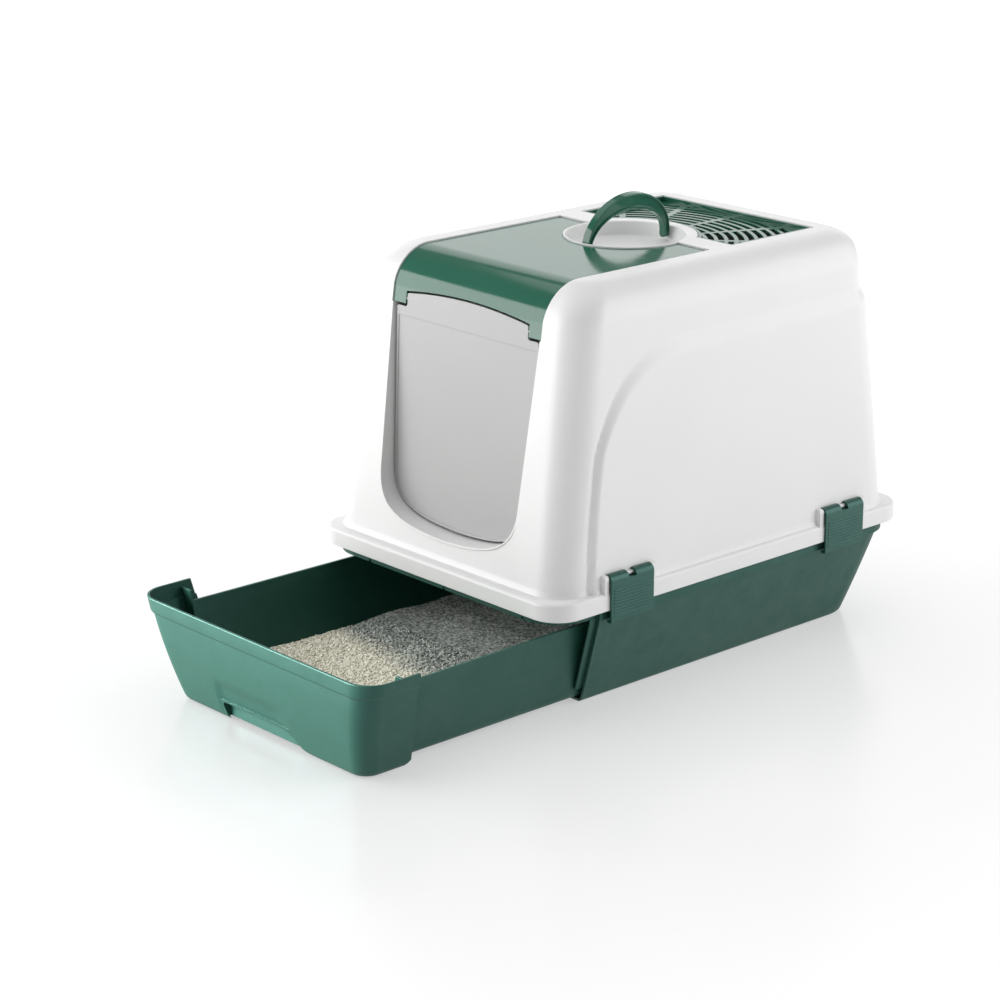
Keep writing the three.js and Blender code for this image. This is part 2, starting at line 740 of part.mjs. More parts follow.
function bandBody(inset) {
  const out = drawer.bandOut - inset;
  const at = (z, more) => {
    const t = 1 - z / drawer.lipTop;
    const halfWidth = mix(drawer.topHalfWidth, drawer.bottomHalfWidth, t) + out + more;
    const front = mix(drawer.topFront, drawer.bottomFront, tuck(t)) - out - more;
    return mirrorRing(halfWidth, front, -300, drawer.topCorner + out, z);
  };
  return loft([
    at(drawer.bandBottom + (inset > 0 ? 1 : 0), 0),
    at(drawer.bandBottom + 2, 0),
    at(drawer.lipTop + (inset > 0 ? 2 : 0), 0),
  ]);
}

function innerTray(inset, lowZ) {
  const section = (z) => {
    const t = 1 - (z - drawer.trayBottom) / (drawer.trayTop - drawer.trayBottom);
    const frontHalf = mix(drawer.trayTopHalf, drawer.trayBottomHalf, t) - inset;
    const rearHalf = mix(drawer.trayRearTopHalf, drawer.trayBottomHalf - 1, t) - inset;
    const back = drawer.rearY - mix(0, 10, t) - inset;
    const front = -490;
    const points = mirrorRing(frontHalf, front, back, 24 - inset, z);
    for (const point of points) {
      const along = (point.y - front) / (back - front);
      point.x *= mix(1, rearHalf / frontHalf, along);
    }
    return points;
  };
  return loft([section(lowZ), section(mix(lowZ, drawer.trayTop, 0.5)), section(drawer.trayTop)]);
}

// Everything behind the slanted end of the fascia's wrap.
function behindWrap(shift) {
  return alongX(polygon([
    [drawer.wrapEndBottom + shift, -10],
    [drawer.wrapEndBottom + shift, 0],
    [drawer.wrapEndTop + shift, drawer.lipTop],
    [drawer.wrapEndTop + shift, 140],
    [FAR, 140],
    [FAR, -10],
  ]), -FAR / 2, FAR / 2);
}

function makeDrawer() {
  const wrap = fasciaBody(0, 0, drawer.lipTop).add(bandBody(0)).subtract(behindWrap(0));
  const trayOuter = innerTray(0, drawer.trayBottom);
  let body = wrap.add(trayOuter);
  const ahead = box(-FAR, FAR, -FAR, drawer.returnY, 0, 200);
  const compartment = fasciaBody(WALL, drawer.trayBottom + WALL, drawer.lipTop + 1).add(bandBody(WALL));
  body = body.subtract(compartment.intersect(ahead));
  body = body.subtract(innerTray(WALL, drawer.trayBottom + WALL).add(
    box(-139, 139, -470, -400, drawer.trayBottom + WALL, 80),
  ));
  body = body.subtract(box(-FAR / 2, FAR / 2, drawer.returnY - 1, FAR, drawer.trayTop - 0.5, 200).intersect(
    innerTray(WALL, drawer.trayBottom + WALL).scale([1, 1, 1.3]),
  ));
  // The hollow between the wrap and the drawer's own side walls.
  const wrapRoom = fasciaBody(WALL, -5, drawer.lipTop + 1).add(bandBody(WALL));
  const behindReturn = box(-FAR, FAR, drawer.returnY + WALL, FAR, -10, 200);
  body = body.subtract(wrapRoom.intersect(behindReturn).subtract(trayOuter));
  // The return wall stops low enough to pass under the base's crossbar.
  body = body.subtract(wrapRoom.intersect(box(-FAR, FAR, drawer.returnY - 1, FAR, drawer.returnTop, 200)));
  // Under the floor the wrap is open, like any moulded skirt.
  const skirtRoom = fasciaBody(WALL, -5, drawer.trayBottom).intersect(box(-FAR, FAR, -FAR, FAR, -10, drawer.trayBottom));
  body = body.subtract(skirtRoom);
  // The finger grip: a pocket under the middle of the front.
  const { halfWidth, height, backY } = pullGrip;
  const pocketWalls = box(-halfWidth - 2, halfWidth + 2, -512, backY + WALL, drawer.trayBottom, height + WALL);
  body = body.add(pocketWalls.intersect(fasciaBody(0, 0, drawer.lipTop)));
  body = body.subtract(box(-halfWidth, halfWidth, -FAR, backY, -5, height));
  return body;
}

function makeLitter() {
  const floor = drawer.trayBottom + WALL + GAP;
  const bed = innerTray(WALL + GAP, drawer.trayBottom + WALL + 0.2);
  const front = fasciaBody(WALL + GAP, drawer.trayBottom + 1, 60).intersect(
    box(-FAR, FAR, -FAR, drawer.returnY - GAP, 0, 60),
  );
  const { halfWidth, height, backY } = pullGrip;
  const clear = box(-halfWidth - 3, halfWidth + 3, -FAR, backY + WALL + GAP, 0, height + WALL + GAP);
  const layer = box(-FAR, FAR, -FAR, FAR, floor, litter.level);
  const joined = bed.add(front.intersect(box(-139, 139, -FAR, FAR, 0, 60)));
  return joined.subtract(clear).intersect(layer);
}

// ---------------------------------------------------------------- materials

function plastic(color, roughness) {
  return new THREE.MeshStandardMaterial({ color, roughness, metalness: 0 });
}

const white = plastic(0xeeeeee, 0.45);
const green = plastic(0x3f7a63, 0.42);
const glossGreen = plastic(0x36705a, 0.15);
const clearGrey = new THREE.MeshStandardMaterial({
  color: 0xc9c9c9,
  roughness: 0.2,
  metalness: 0,
  transparent: true,
  opacity: 0.6,
});
const charcoal = plastic(0x1b1b1b, 0.95);
const granules = plastic(0xb9b3a6, 0.95);

// ------------------------------------------------------------------ assembly

const assembly = new THREE.Group();

function place(name, body, material) {
  const mesh = new THREE.Mesh(geometryOf(body), material);
  mesh.name = name;
  assembly.add(mesh);
}

place('base_tray', makeTray(), green);
place('drawer', makeDrawer(), green);
place('litter', makeLitter(), granules);
place('hood_shell', makeHood(), white);
place('visor', makeVisor(), glossGreen);
place('swing_door', makeDoor(), clearGrey);
place('carry_handle', makeHandle(), glossGreen);
place('filter_cover', makeCover(), glossGreen);
place('charcoal_filter', makeFilter(), charcoal);
for (const [side, word] of [[1, 'right'], [-1, 'left']]) {
  place(`door_pin_${word}`, makeDoorPin(side), white);
  place(`visor_pin_${word}`, makeVisorPin(side), white);
  place(`clip_front_${word}`, makeClip(side, clip.centres[0]), green);
  place(`clip_rear_${word}`, makeClip(side, clip.centres[1]), green);
}
place('handle_pin_rear', makeHandlePin(1), white);
place('handle_pin_front', makeHandlePin(-1), white);

export default assembly;
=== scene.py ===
"""Looks for the hooded cat litter box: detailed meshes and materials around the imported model.

Lengths in the shape functions are millimetres in the model's own frame: X across,
the entrance faces -Y, Z up. They become metres where a mesh is made.
"""

import math
import random

import bmesh
import bpy
import numpy as np
from mathutils import Matrix, Vector, noise


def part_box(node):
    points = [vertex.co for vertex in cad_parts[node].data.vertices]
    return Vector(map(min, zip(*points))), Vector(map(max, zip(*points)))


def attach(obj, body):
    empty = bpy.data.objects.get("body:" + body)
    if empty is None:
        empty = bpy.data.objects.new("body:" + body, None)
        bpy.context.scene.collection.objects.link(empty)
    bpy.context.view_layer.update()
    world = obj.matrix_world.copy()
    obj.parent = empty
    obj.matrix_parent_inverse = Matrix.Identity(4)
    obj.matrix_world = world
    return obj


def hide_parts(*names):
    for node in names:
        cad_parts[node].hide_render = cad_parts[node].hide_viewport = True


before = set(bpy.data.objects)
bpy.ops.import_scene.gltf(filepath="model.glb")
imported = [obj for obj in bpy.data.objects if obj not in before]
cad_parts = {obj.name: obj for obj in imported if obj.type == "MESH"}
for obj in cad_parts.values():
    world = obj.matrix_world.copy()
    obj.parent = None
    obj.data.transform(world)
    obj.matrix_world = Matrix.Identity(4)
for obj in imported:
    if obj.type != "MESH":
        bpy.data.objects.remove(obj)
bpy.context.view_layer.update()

MM = 0.001
FAR = 900.0


def node_box(node):
    """A node's lowest and highest corners at rest, in millimetres."""
    low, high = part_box(node)
    return low / MM, high / MM


# ---- dimensions

HOOD_LOW, HOOD_HIGH = node_box("hood_shell")
VISOR_LOW, VISOR_HIGH = node_box("visor")
COVER_LOW, COVER_HIGH = node_box("filter_cover")
BASE_LOW, BASE_HIGH = node_box("base_tray")
DRAWER_LOW, DRAWER_HIGH = node_box("drawer")
PAD_LOW, PAD_HIGH = node_box("charcoal_filter")

WALL = 2.6
FLANGE_HALF_X = HOOD_HIGH.x
FLANGE_HALF_Y = HOOD_HIGH.y
FLANGE_BOTTOM = HOOD_LOW.z
FLANGE_TOP = FLANGE_BOTTOM + 19.9
FLANGE_RADIUS = 34.0

HOOD_TOP = HOOD_HIGH.z
HOOD_FOOT = FLANGE_TOP
HOOD_HALF = FLANGE_HALF_X - 10.5
HOOD_FRONT = -FLANGE_HALF_Y + 13.5
HOOD_REAR = FLANGE_HALF_Y - 19.0
SIDE_LEAN, FRONT_LEAN, REAR_LEAN = 0.0457, 0.1395, 0.1
SIDE_ROUND, FRONT_ROUND, REAR_ROUND = 38.0, 52.0, 18.0
HOOD_CORNER = 37.0
ROUND_FRONT_Y = -172.0
FLARE, FLARE_HEIGHT = 2.6, 4.5
PANEL_RISE, GROOVE_DEPTH = 4.6, 1.6

ENTRANCE_HIGH, ENTRANCE_LOW, ENTRANCE_BOTTOM = 116.0, 110.0, 161.5
ENTRANCE_SIDE_END, ENTRANCE_TOP, TUNNEL_END = 222.0, 396.0, -214.0

DISH_Y, DISH_RADIUS, DISH_FLOOR, COVER_ARC = 12.0, 66.0, 438.0, 79.5
VISOR_HALF, VISOR_REAR, VISOR_CUT = VISOR_HIGH.x, VISOR_HIGH.y, 70.0
VISOR_SINK, VISOR_THICK, VISOR_CORNER = HOOD_TOP - VISOR_HIGH.z, 2.5, 9.0
TAB_BOTTOM, TAB_INNER = VISOR_LOW.z, 97.0
ARCH_SIDE, ARCH_RISE = 411.0, 7.0
LUG_Y, LUG_Z, LUG_RADIUS, LUG_INNER, LUG_OUTER = 17.0, 449.5, 3.4, 104.0, 112.0
TROUGH_INNER, TROUGH_FRONT, TROUGH_FLOOR, TROUGH_BEHIND = 69.3, 6.4, 442.8, 2.6
ROOF_LOW, ROOF_HIGH = 380.0, 520.0
SLOT_ROWS, SLOT_FIRST, SLOT_PITCH, SLOT_WIDTH = 10, 82.5, 11.1, 6.6
SLOT_SPANS = ((16, 41), (44.5, 64.5), (67.5, 88.5), (91.5, 112.5), (115.5, 135.5), (139, 164))

DOOR_Y, DOOR_AXIS_Z, DOOR_THICK, DOOR_TILT = -220.5, 403.0, 3.0, -3.3
HANDLE_LEAN = 7.0
CLIP_CENTRES = [node_box(f"clip_{end}_right") for end in ("front", "rear")]
CLIP_CENTRES = [(low.y + high.y) / 2 for low, high in CLIP_CENTRES]
CLIP_WIDTH, CLIP_EAR, ROD_X, ROD_Z = 63.0, 6.5, 190.4, 152.6

BASE_TOP, BASE_HALF_TOP, BASE_HALF_LOW = 108.0, 188.5, 145.5
BASE_REAR_TOP, BASE_REAR_LOW = 258.0, 248.0
BASE_EDGE_TOP, BASE_EDGE_LOW = -206.0, -190.0
RIM_HALF, RIM_REAR, RIM_FRONT = BASE_HIGH.x, BASE_HIGH.y, BASE_LOW.y + 1.5
CROSSBAR_BOTTOM, RIM_RADIUS = 111.0, 44.0
RIM_BAND, RIM_LIP, CROSSBAR_THICK = 8.5, 3.0, 5.0
BASE_FRONT = -300.0

LIP_TOP = DRAWER_HIGH.z
LEDGE, BAND_OUT = 98.0, 2.6
FASCIA_HALF_TOP, FASCIA_HALF_LOW = DRAWER_HIGH.x - BAND_OUT, 154.5
FASCIA_TOP_Y, FASCIA_LOW_Y = DRAWER_LOW.y + BAND_OUT, DRAWER_LOW.y + 25.6
WRAP_END_TOP, WRAP_END_LOW = DRAWER_LOW.y + 69.6, DRAWER_LOW.y + 85.6
RETURN_Y = DRAWER_LOW.y + 54.6
TRAY_TOP, TRAY_BOTTOM = 98.5, 4.6
TRAY_HALF_TOP, TRAY_HALF_REAR, TRAY_HALF_LOW = 170.0, 162.0, 142.6
TRAY_FRONT, TRAY_REAR = -490.0, DRAWER_HIGH.y
FASCIA_BACK = -300.0
NOSE_FRONT, NOSE_BACK, NOSE_HALF_FRONT, NOSE_HALF_BACK = -503.0, -470.0, 125.0, 139.0
GRIP_LEFT, GRIP_RIGHT, GRIP_TOP, GRIP_BACK = -70.0, 44.0, 21.5, -494.0
LITTER_LEVEL, GRANULES = 28.0, 11500

CAMERA_PLACE = (2.2008, -2.1715, 1.1448)
CAMERA_FORWARD = (-0.704945, 0.639650, -0.306430)
CAMERA_LENS, CAMERA_SENSOR = 103.66, 36.0


# ---- meshes

def new_object(name, vertices, faces):
    """A mesh object from points in millimetres, with its faces turned outwards."""
    mesh = bpy.data.meshes.new(name)
    mesh.from_pydata([(x * MM, y * MM, z * MM) for x, y, z in vertices], [], faces)
    work = bmesh.new()
    work.from_mesh(mesh)
    bmesh.ops.recalc_face_normals(work, faces=work.faces)
    work.to_mesh(mesh)
    work.free()
    thing = bpy.data.objects.new(name, mesh)
    bpy.context.scene.collection.objects.link(thing)
    return thing


def loft(rings, name="loft"):
    """A closed body through rings with equal point counts."""
    count = len(rings[0])
    vertices = [point for ring in rings for point in ring]
    faces = []
    for level in range(len(rings) - 1):
        for i in range(count):
            a = level * count + i
            b = level * count + (i + 1) % count
            faces.append((a, b, b + count, a + count))
    faces.append(tuple(reversed(range(count))))
    faces.append(tuple(range((len(rings) - 1) * count, len(rings) * count)))
    return new_object(name, vertices, faces)


def prism(outline, start, end, plane):
    """An outline carried straight through a plane: "xy", "xz" or "yz"."""
    place = {
        "xy": lambda a, b, t: (a, b, t),
        "xz": lambda a, b, t: (a, t, b),
        "yz": lambda a, b, t: (t, a, b),
    }[plane]
    return loft([[place(a, b, t) for a, b in outline] for t in (start, end)], "prism")


def block(x0, x1, y0, y1, z0, z1):
    """A box, mostly for cutting with."""
    return prism([(x0, y0), (x1, y0), (x1, y1), (x0, y1)], z0, z1, "xy")


def rod(axis, radius, start, end, centre, sides=32):
    """A round bar along an axis; centre is its place across that axis."""
    plane = {"x": "yz", "y": "xz", "z": "xy"}[axis]
    return prism(arc(centre[0], centre[1], radius, 0, 360, sides)[:-1], start, end, plane)


def turned(profile, centre_y, sides=96):
    """A body of revolution about a vertical axis at x = 0; profile is (radius, z)."""
    rings = []
    for radius, z in profile:
        circle = arc(0, centre_y, max(radius, 0.05), 0, 360, sides)[:-1]
        rings.append([(x, y, z) for x, y in circle])
    return loft(rings, "turned")


def combine(first, second, operation):
    """Joins, cuts or intersects two bodies into the first, and removes the second."""
    modifier = first.modifiers.new("combine", "BOOLEAN")
    modifier.operation = operation
    modifier.solver = "MANIFOLD"
    modifier.object = second
    depsgraph = bpy.context.evaluated_depsgraph_get()
    mesh = bpy.data.meshes.new_from_object(first.evaluated_get(depsgraph))
    first.modifiers.clear()
    old = first.data
    first.data = mesh
    bpy.data.meshes.remove(old)
    bpy.data.objects.remove(second)
    return first


def add(first, *others):
    for other in others:
        first = combine(first, other, "UNION")
    return first


def cut(first, *others):
    for other in others:
        first = combine(first, other, "DIFFERENCE")
    return first


def keep(first, other):
    return combine(first, other, "INTERSECT")


def copy_of(thing):
    twin = bpy.data.objects.new(thing.name, thing.data.copy())
    bpy.context.scene.collection.objects.link(twin)
    return twin


def mirrored(thing):
    """The same body on the other side of x = 0."""
    thing.data.transform(((-1, 0, 0, 0), (0, 1, 0, 0), (0, 0, 1, 0), (0, 0, 0, 1)))
    thing.data.flip_normals()
    return thing


def lean_about(thing, degrees, axis, point):
    """Turns a body about an axis through a point given in millimetres."""
    centre = Vector(point) * MM
    turn = Matrix.Rotation(math.radians(degrees), 4, axis)
    thing.data.transform(Matrix.Translation(centre) @ turn @ Matrix.Translation(-centre))


def on_side(make, side):
    """A body made for the right side, mirrored if side is -1."""
    return make() if side > 0 else mirrored(make())


# ---- outlines

def mix(a, b, t):
    return a + (b - a) * t


def arc(cx, cy, radius, start, end, steps):
    """Points on an arc, both ends included; angles in degrees."""
    angles = [math.radians(mix(start, end, i / steps)) for i in range(steps + 1)]
    return [(cx + radius * math.cos(a), cy + radius * math.sin(a)) for a in angles]


def bezier(p0, p1, p2, p3, steps):
    points = []
    for i in range(steps + 1):
        t = i / steps
        u = 1 - t
        weights = (u * u * u, 3 * u * u * t, 3 * u * t * t, t * t * t)
        points.append(tuple(sum(w * p[k] for w, p in zip(weights, (p0, p1, p2, p3))) for k in (0, 1)))
    return points


def rounded_ring(half, front, back, radius, z, sides=2, ends=2, corner=8):
    """A rounded rectangle: right side, rear, left side, front, with their corners."""
    points = [(half, mix(front + radius, back - radius, i / sides), z) for i in range(1, sides)]
    points += [(x, y, z) for x, y in arc(half - radius, back - radius, radius, 0, 90, corner)]
    reach = half - radius
    points += [(mix(reach, -reach, i / ends), back, z) for i in range(1, ends)]
    points += [(x, y, z) for x, y in arc(-reach, back - radius, radius, 90, 180, corner)]
    points += [(-half, mix(back - radius, front + radius, i / sides), z) for i in range(1, sides)]
    points += [(x, y, z) for x, y in arc(-reach, front + radius, radius, 180, 270, corner)]
    points += [(mix(-reach, reach, i / ends), front, z) for i in range(1, ends)]
    points += [(x, y, z) for x, y in arc(reach, front + radius, radius, 270, 360, corner)]
    return points


def entrance_outline(grow):
    """The doorway seen from the front: upright sides and one long curve below."""
    low, high, bottom = ENTRANCE_LOW + grow, ENTRANCE_HIGH + grow, ENTRANCE_BOTTOM - grow
    left = bezier((-low, ENTRANCE_SIDE_END), (-low + 0.5, 180), (-88, bottom + 1.5), (0, bottom), 24)
    right = [(-x, z) for x, z in reversed(left[:-1])]
    return [(high, 520), (-high, 520), (-high, ENTRANCE_TOP)] + left + right + [(high, ENTRANCE_TOP)]


def visor_plan(gap):
    """The visor from above, drawn in by a gap, with the handle dish cut out of its rear."""
    half, rear, cut_radius = VISOR_HALF - gap, VISOR_REAR - gap, VISOR_CUT + gap
    side = math.sqrt(cut_radius ** 2 - (rear - DISH_Y) ** 2)
    start = math.degrees(math.atan2(rear - DISH_Y, side))
    round_edge = arc(0, DISH_Y, cut_radius, start, -180 - start, 72)
    right = arc(half - VISOR_CORNER, rear - VISOR_CORNER, VISOR_CORNER, 0, 90, 10)
    left = arc(VISOR_CORNER - half, rear - VISOR_CORNER, VISOR_CORNER, 90, 180, 10)
    return [(-half, -330), (half, -330)] + right + round_edge + left


def cover_outline(gap):
    """The filter cover from above, with its hollow round the handle dish."""
    half, front, rear = COVER_HIGH.x - gap, COVER_LOW.y + gap, COVER_HIGH.y - gap
    radius = COVER_ARC + gap
    side = math.sqrt(radius ** 2 - (front - DISH_Y) ** 2)
    start = math.degrees(math.atan2(front - DISH_Y, side))
    inner = arc(0, DISH_Y, radius, 180 - start, start, 48)
    return [(-half, front)] + inner + [(half, front), (half, rear), (-half, rear)]


# ---- hood

def panel_line():
    """The pressed panel's edge on the side wall as (y, z): up, round and level to the rear."""
    up = bezier((-222, 100), (-220, 183), (-213, 236), (-204, 283), 16)
    over = bezier((-204, 283), (-181, 353), (-140, 390), (-76, 390), 28)
    return np.array(up[:-1] + over + [(320, 395)])


PANEL_LINE = panel_line()


def panel_height(points):
    """How far the pressed side panel stands out at each (y, z), with a groove along its edge."""
    start, end = PANEL_LINE[:-1], PANEL_LINE[1:]
    along = end - start
    length = (along ** 2).sum(1)
    offset = points[:, None, :] - start[None]
    share = np.clip((offset * along[None]).sum(2) / length[None], 0, 1)
    away = offset - share[..., None] * along[None]
    distance = np.sqrt((away ** 2).sum(2))
    nearest = distance.argmin(1)
    rows = np.arange(len(points))
    side = along[nearest, 0] * away[rows, nearest, 1] - along[nearest, 1] * away[rows, nearest, 0]
    inside = np.where(side < 0, 1.0, -1.0) * distance[rows, nearest]
    up = np.clip((points[:, 1] - 290) / 75, 0, 1)
    step = np.clip((inside - 1) / (7 + 9 * up), 0, 1)
    rise = PANEL_RISE * (0.6 * step + 0.4 * step * step * (3 - 2 * step))
    return rise - GROOVE_DEPTH * (1 - 0.85 * up) * np.exp(-((inside - 0.5) / 2.8) ** 2)


def edge_inset(radius, centre_z, z):
    """How far a rounded top edge has drawn in at a height."""
    if z <= centre_z:
        return 0.0
    up = min(z - centre_z, radius)
    return radius - math.sqrt(radius * radius - up * up)


def hood_ring(inset, z, sides, ends, corner):
    """The hood's outline at a height, with its leaning walls and rounded edges."""
    up = z - HOOD_FOOT
    side_inset = edge_inset(SIDE_ROUND - inset, HOOD_TOP - SIDE_ROUND, z)
    rear_inset = edge_inset(REAR_ROUND - inset, HOOD_TOP - REAR_ROUND, z)
    lean = FRONT_ROUND - inset
    centre = HOOD_TOP - FRONT_ROUND
    flare = FLARE * max(0.0, 1 - max(up, 0) / FLARE_HEIGHT) ** 2 if inset == 0 else 0.0
    half = HOOD_HALF - SIDE_LEAN * up - inset - side_inset + flare
    back = HOOD_REAR - REAR_LEAN * up - inset - rear_inset + flare
    front = HOOD_FRONT + FRONT_LEAN * up + inset - flare
    if z > centre:
        rise = min(z - centre, lean)
        front = max(front, ROUND_FRONT_Y - math.sqrt(max(lean * lean - rise * rise, 0)))
    radius = max(HOOD_CORNER - inset - 0.45 * side_inset, 6)
    return rounded_ring(half, front, back, radius, z, sides, ends, corner)


def hood_heights(inset, start, step, turns):
    """Levels up the wall, round the top edge, closer together where it bends."""
    centre = HOOD_TOP - FRONT_ROUND
    count = max(2, round((centre - start) / step))
    heights = [mix(start, centre, i / count) for i in range(count + 1)]
    reach = HOOD_TOP - inset - centre
    heights += [centre + reach * math.sin(math.radians(90 * i / turns)) for i in range(1, turns + 1)]
    return heights


# Wall step in mm, turns round the top edge, and points along the sides, the ends and each corner.
DETAIL = {"plain": (60.0, 22, 6, 4, 8), "visor": (5.0, 34, 12, 60, 10), "full": (3.0, 34, 150, 40, 24)}


def hood_body(inset, start, detail="plain"):
    """The hood's body drawn in by an inset, from a start height to its top."""
    step, turns, sides, ends, corner = DETAIL[detail]
    rings = [hood_ring(inset, z, sides, ends, corner) for z in hood_heights(inset, start, step, turns)]
    if detail == "full":
        press_panels(rings)
    top = rings[-1]
    middle = (top[0][1] + top[sides][1]) / 2
    for share in (0.985, 0.93):
        rings.append([(x * share, middle + (y - middle) * share, z) for x, y, z in top])
    return loft(rings, "hood_body")


def press_panels(rings):
    """Moves the rings' side and rear points out where the pressed panel stands proud."""
    for ring in rings:
        points = np.array(ring)
        rise = panel_height(points[:, 1:3])
        ahead = np.roll(points, -1, 0) - np.roll(points, 1, 0)
        normal = np.stack([ahead[:, 1], -ahead[:, 0]], 1)
        normal /= np.maximum(np.linalg.norm(normal, axis=1, keepdims=True), 1e-9)
        points[:, :2] += normal * rise[:, None]
        ring[:] = [tuple(p) for p in points]


def flange_ring(inset, z):
    half_x, half_y = FLANGE_HALF_X - inset, FLANGE_HALF_Y - inset
    return rounded_ring(half_x, -half_y, half_y, FLANGE_RADIUS - inset, z, 6, 4, 14)


def flange_body():
    """The skirt with its rounded top edge, and the room inside it."""
    profile = [(0.9, FLANGE_BOTTOM), (0.2, FLANGE_BOTTOM + 0.5), (0, FLANGE_BOTTOM + 1.5)]
    for radius, z in arc(4.2, FLANGE_TOP - 4.2, 4.2, 180, 90, 8):
        profile.append((radius, z))
    body = loft([flange_ring(inset, z) for inset, z in profile], "flange")
    room = loft([flange_ring(WALL, FLANGE_BOTTOM - 1), flange_ring(WALL, FLANGE_TOP - WALL - 0.4)])
    return body, room


def clip_ears(centre_y):
    """The pair of ears on the right, and the rod between them."""
    profile = [(178, 136), (194.5, 136), (194.5, 151)] + arc(ROD_X, 152.2, 4.4, 0, 90, 8)[1:] + [(178, 156.6)]
    half = CLIP_WIDTH / 2
    first = prism(profile, centre_y - half - CLIP_EAR, centre_y - half, "xz")
    second = prism(profile, centre_y + half, centre_y + half + CLIP_EAR, "xz")
    bar = rod("y", 2.1, centre_y - half - 1, centre_y + half + 1, (ROD_X, ROD_Z), 20)
    return add(first, second, bar)


def roof_prism(outline):
    """An outline seen from above, carried through the roof."""
    return prism(outline, ROOF_LOW, ROOF_HIGH, "xy")


def mirrored_block(near, far, y0, y1, z0, z1, side):
    x0, x1 = (near, far) if side > 0 else (-far, -near)
    return block(x0, x1, y0, y1, z0, z1)


def make_hood():
    """The thin shell with its flange, doorway, dish, filter pocket, visor recess and clip ears."""
    skirt, skirt_room = flange_body()
    body = add(hood_body(0, FLANGE_TOP - 1.5, "full"), skirt)
    body = cut(body, hood_body(WALL, FLANGE_BOTTOM), skirt_room)
    under = VISOR_SINK + VISOR_THICK + 0.35
    ledge = cut(hood_body(under, 200), hood_body(under + 2.4, 190))
    ledge = keep(ledge, roof_prism(visor_plan(-2.5)))
    ledge = keep(ledge, block(-FAR, FAR, -FAR, FAR, TAB_BOTTOM - 8, FAR))
    frame_solid = keep(prism(entrance_outline(WALL), -280, TUNNEL_END, "xz"), hood_body(0, 139))
    frame_solid = keep(frame_solid, block(-FAR, FAR, -FAR, FAR, 0, TAB_BOTTOM - 1))
    body = add(body, ledge, frame_solid)
    outer = DISH_RADIUS + 3
    cup = turned([(60, DISH_FLOOR - WALL), (outer, DISH_FLOOR + 2), (outer, HOOD_TOP)], DISH_Y)
    pocket_floor = PAD_LOW.z - 0.4
    body = add(body, cup, prism(cover_outline(-2.4), pocket_floor - 2, HOOD_TOP - 0.5, "xy"))
    for side in (1, -1):
        body = add(body, mirrored_block(67.0, VISOR_HALF + 2.6, 4, VISOR_REAR + 3.6, 440.4, 450.5, side))
        for centre in CLIP_CENTRES:
            body = add(body, on_side(lambda: clip_ears(centre), side))
    round_edge = [(DISH_RADIUS - 0.2 + 1.7 * (1 - math.cos(a)), HOOD_TOP - 1.7 + 1.7 * math.sin(a))
                  for a in (0, 0.4, 0.8, 1.2, math.pi / 2)]
    bowl = [(50, DISH_FLOOR), (60, DISH_FLOOR + 0.25), (63, DISH_FLOOR + 1.3), (64.4, DISH_FLOOR + 3.4)]
    body = cut(body, turned(bowl + round_edge + [(DISH_RADIUS + 1.5, HOOD_TOP + 3)], DISH_Y))
    body = cut(body, prism(cover_outline(-0.8), pocket_floor, HOOD_TOP + 5, "xy"))
    for x0, x1 in ((-104, -40), (-36, 36), (40, 104)):
        body = cut(body, block(x0, x1, 106, COVER_HIGH.y - 9, 400, HOOD_TOP))
    for side in (1, -1):
        trough_rear = VISOR_REAR + TROUGH_BEHIND
        trough = mirrored_block(TROUGH_INNER, VISOR_HALF + 0.3, TROUGH_FRONT, trough_rear,
                                TROUGH_FLOOR, 470, side)
        body = cut(body, trough)
    recess = cut(roof_prism(visor_plan(-0.6)), hood_body(under, 190))
    body = cut(body, keep(recess, block(-FAR, FAR, -FAR, FAR, TAB_BOTTOM - 0.35, FAR)))
    doorway = prism(entrance_outline(0), -300, TUNNEL_END + 1, "xz")
    body = cut(body, keep(doorway, block(-FAR, FAR, -FAR, FAR, 0, TAB_BOTTOM)))
    open_half = VISOR_HALF - 9
    body = cut(body, block(-open_half, open_half, -300, -78, TAB_BOTTOM - 3, 470))
    return body


# ---- visor

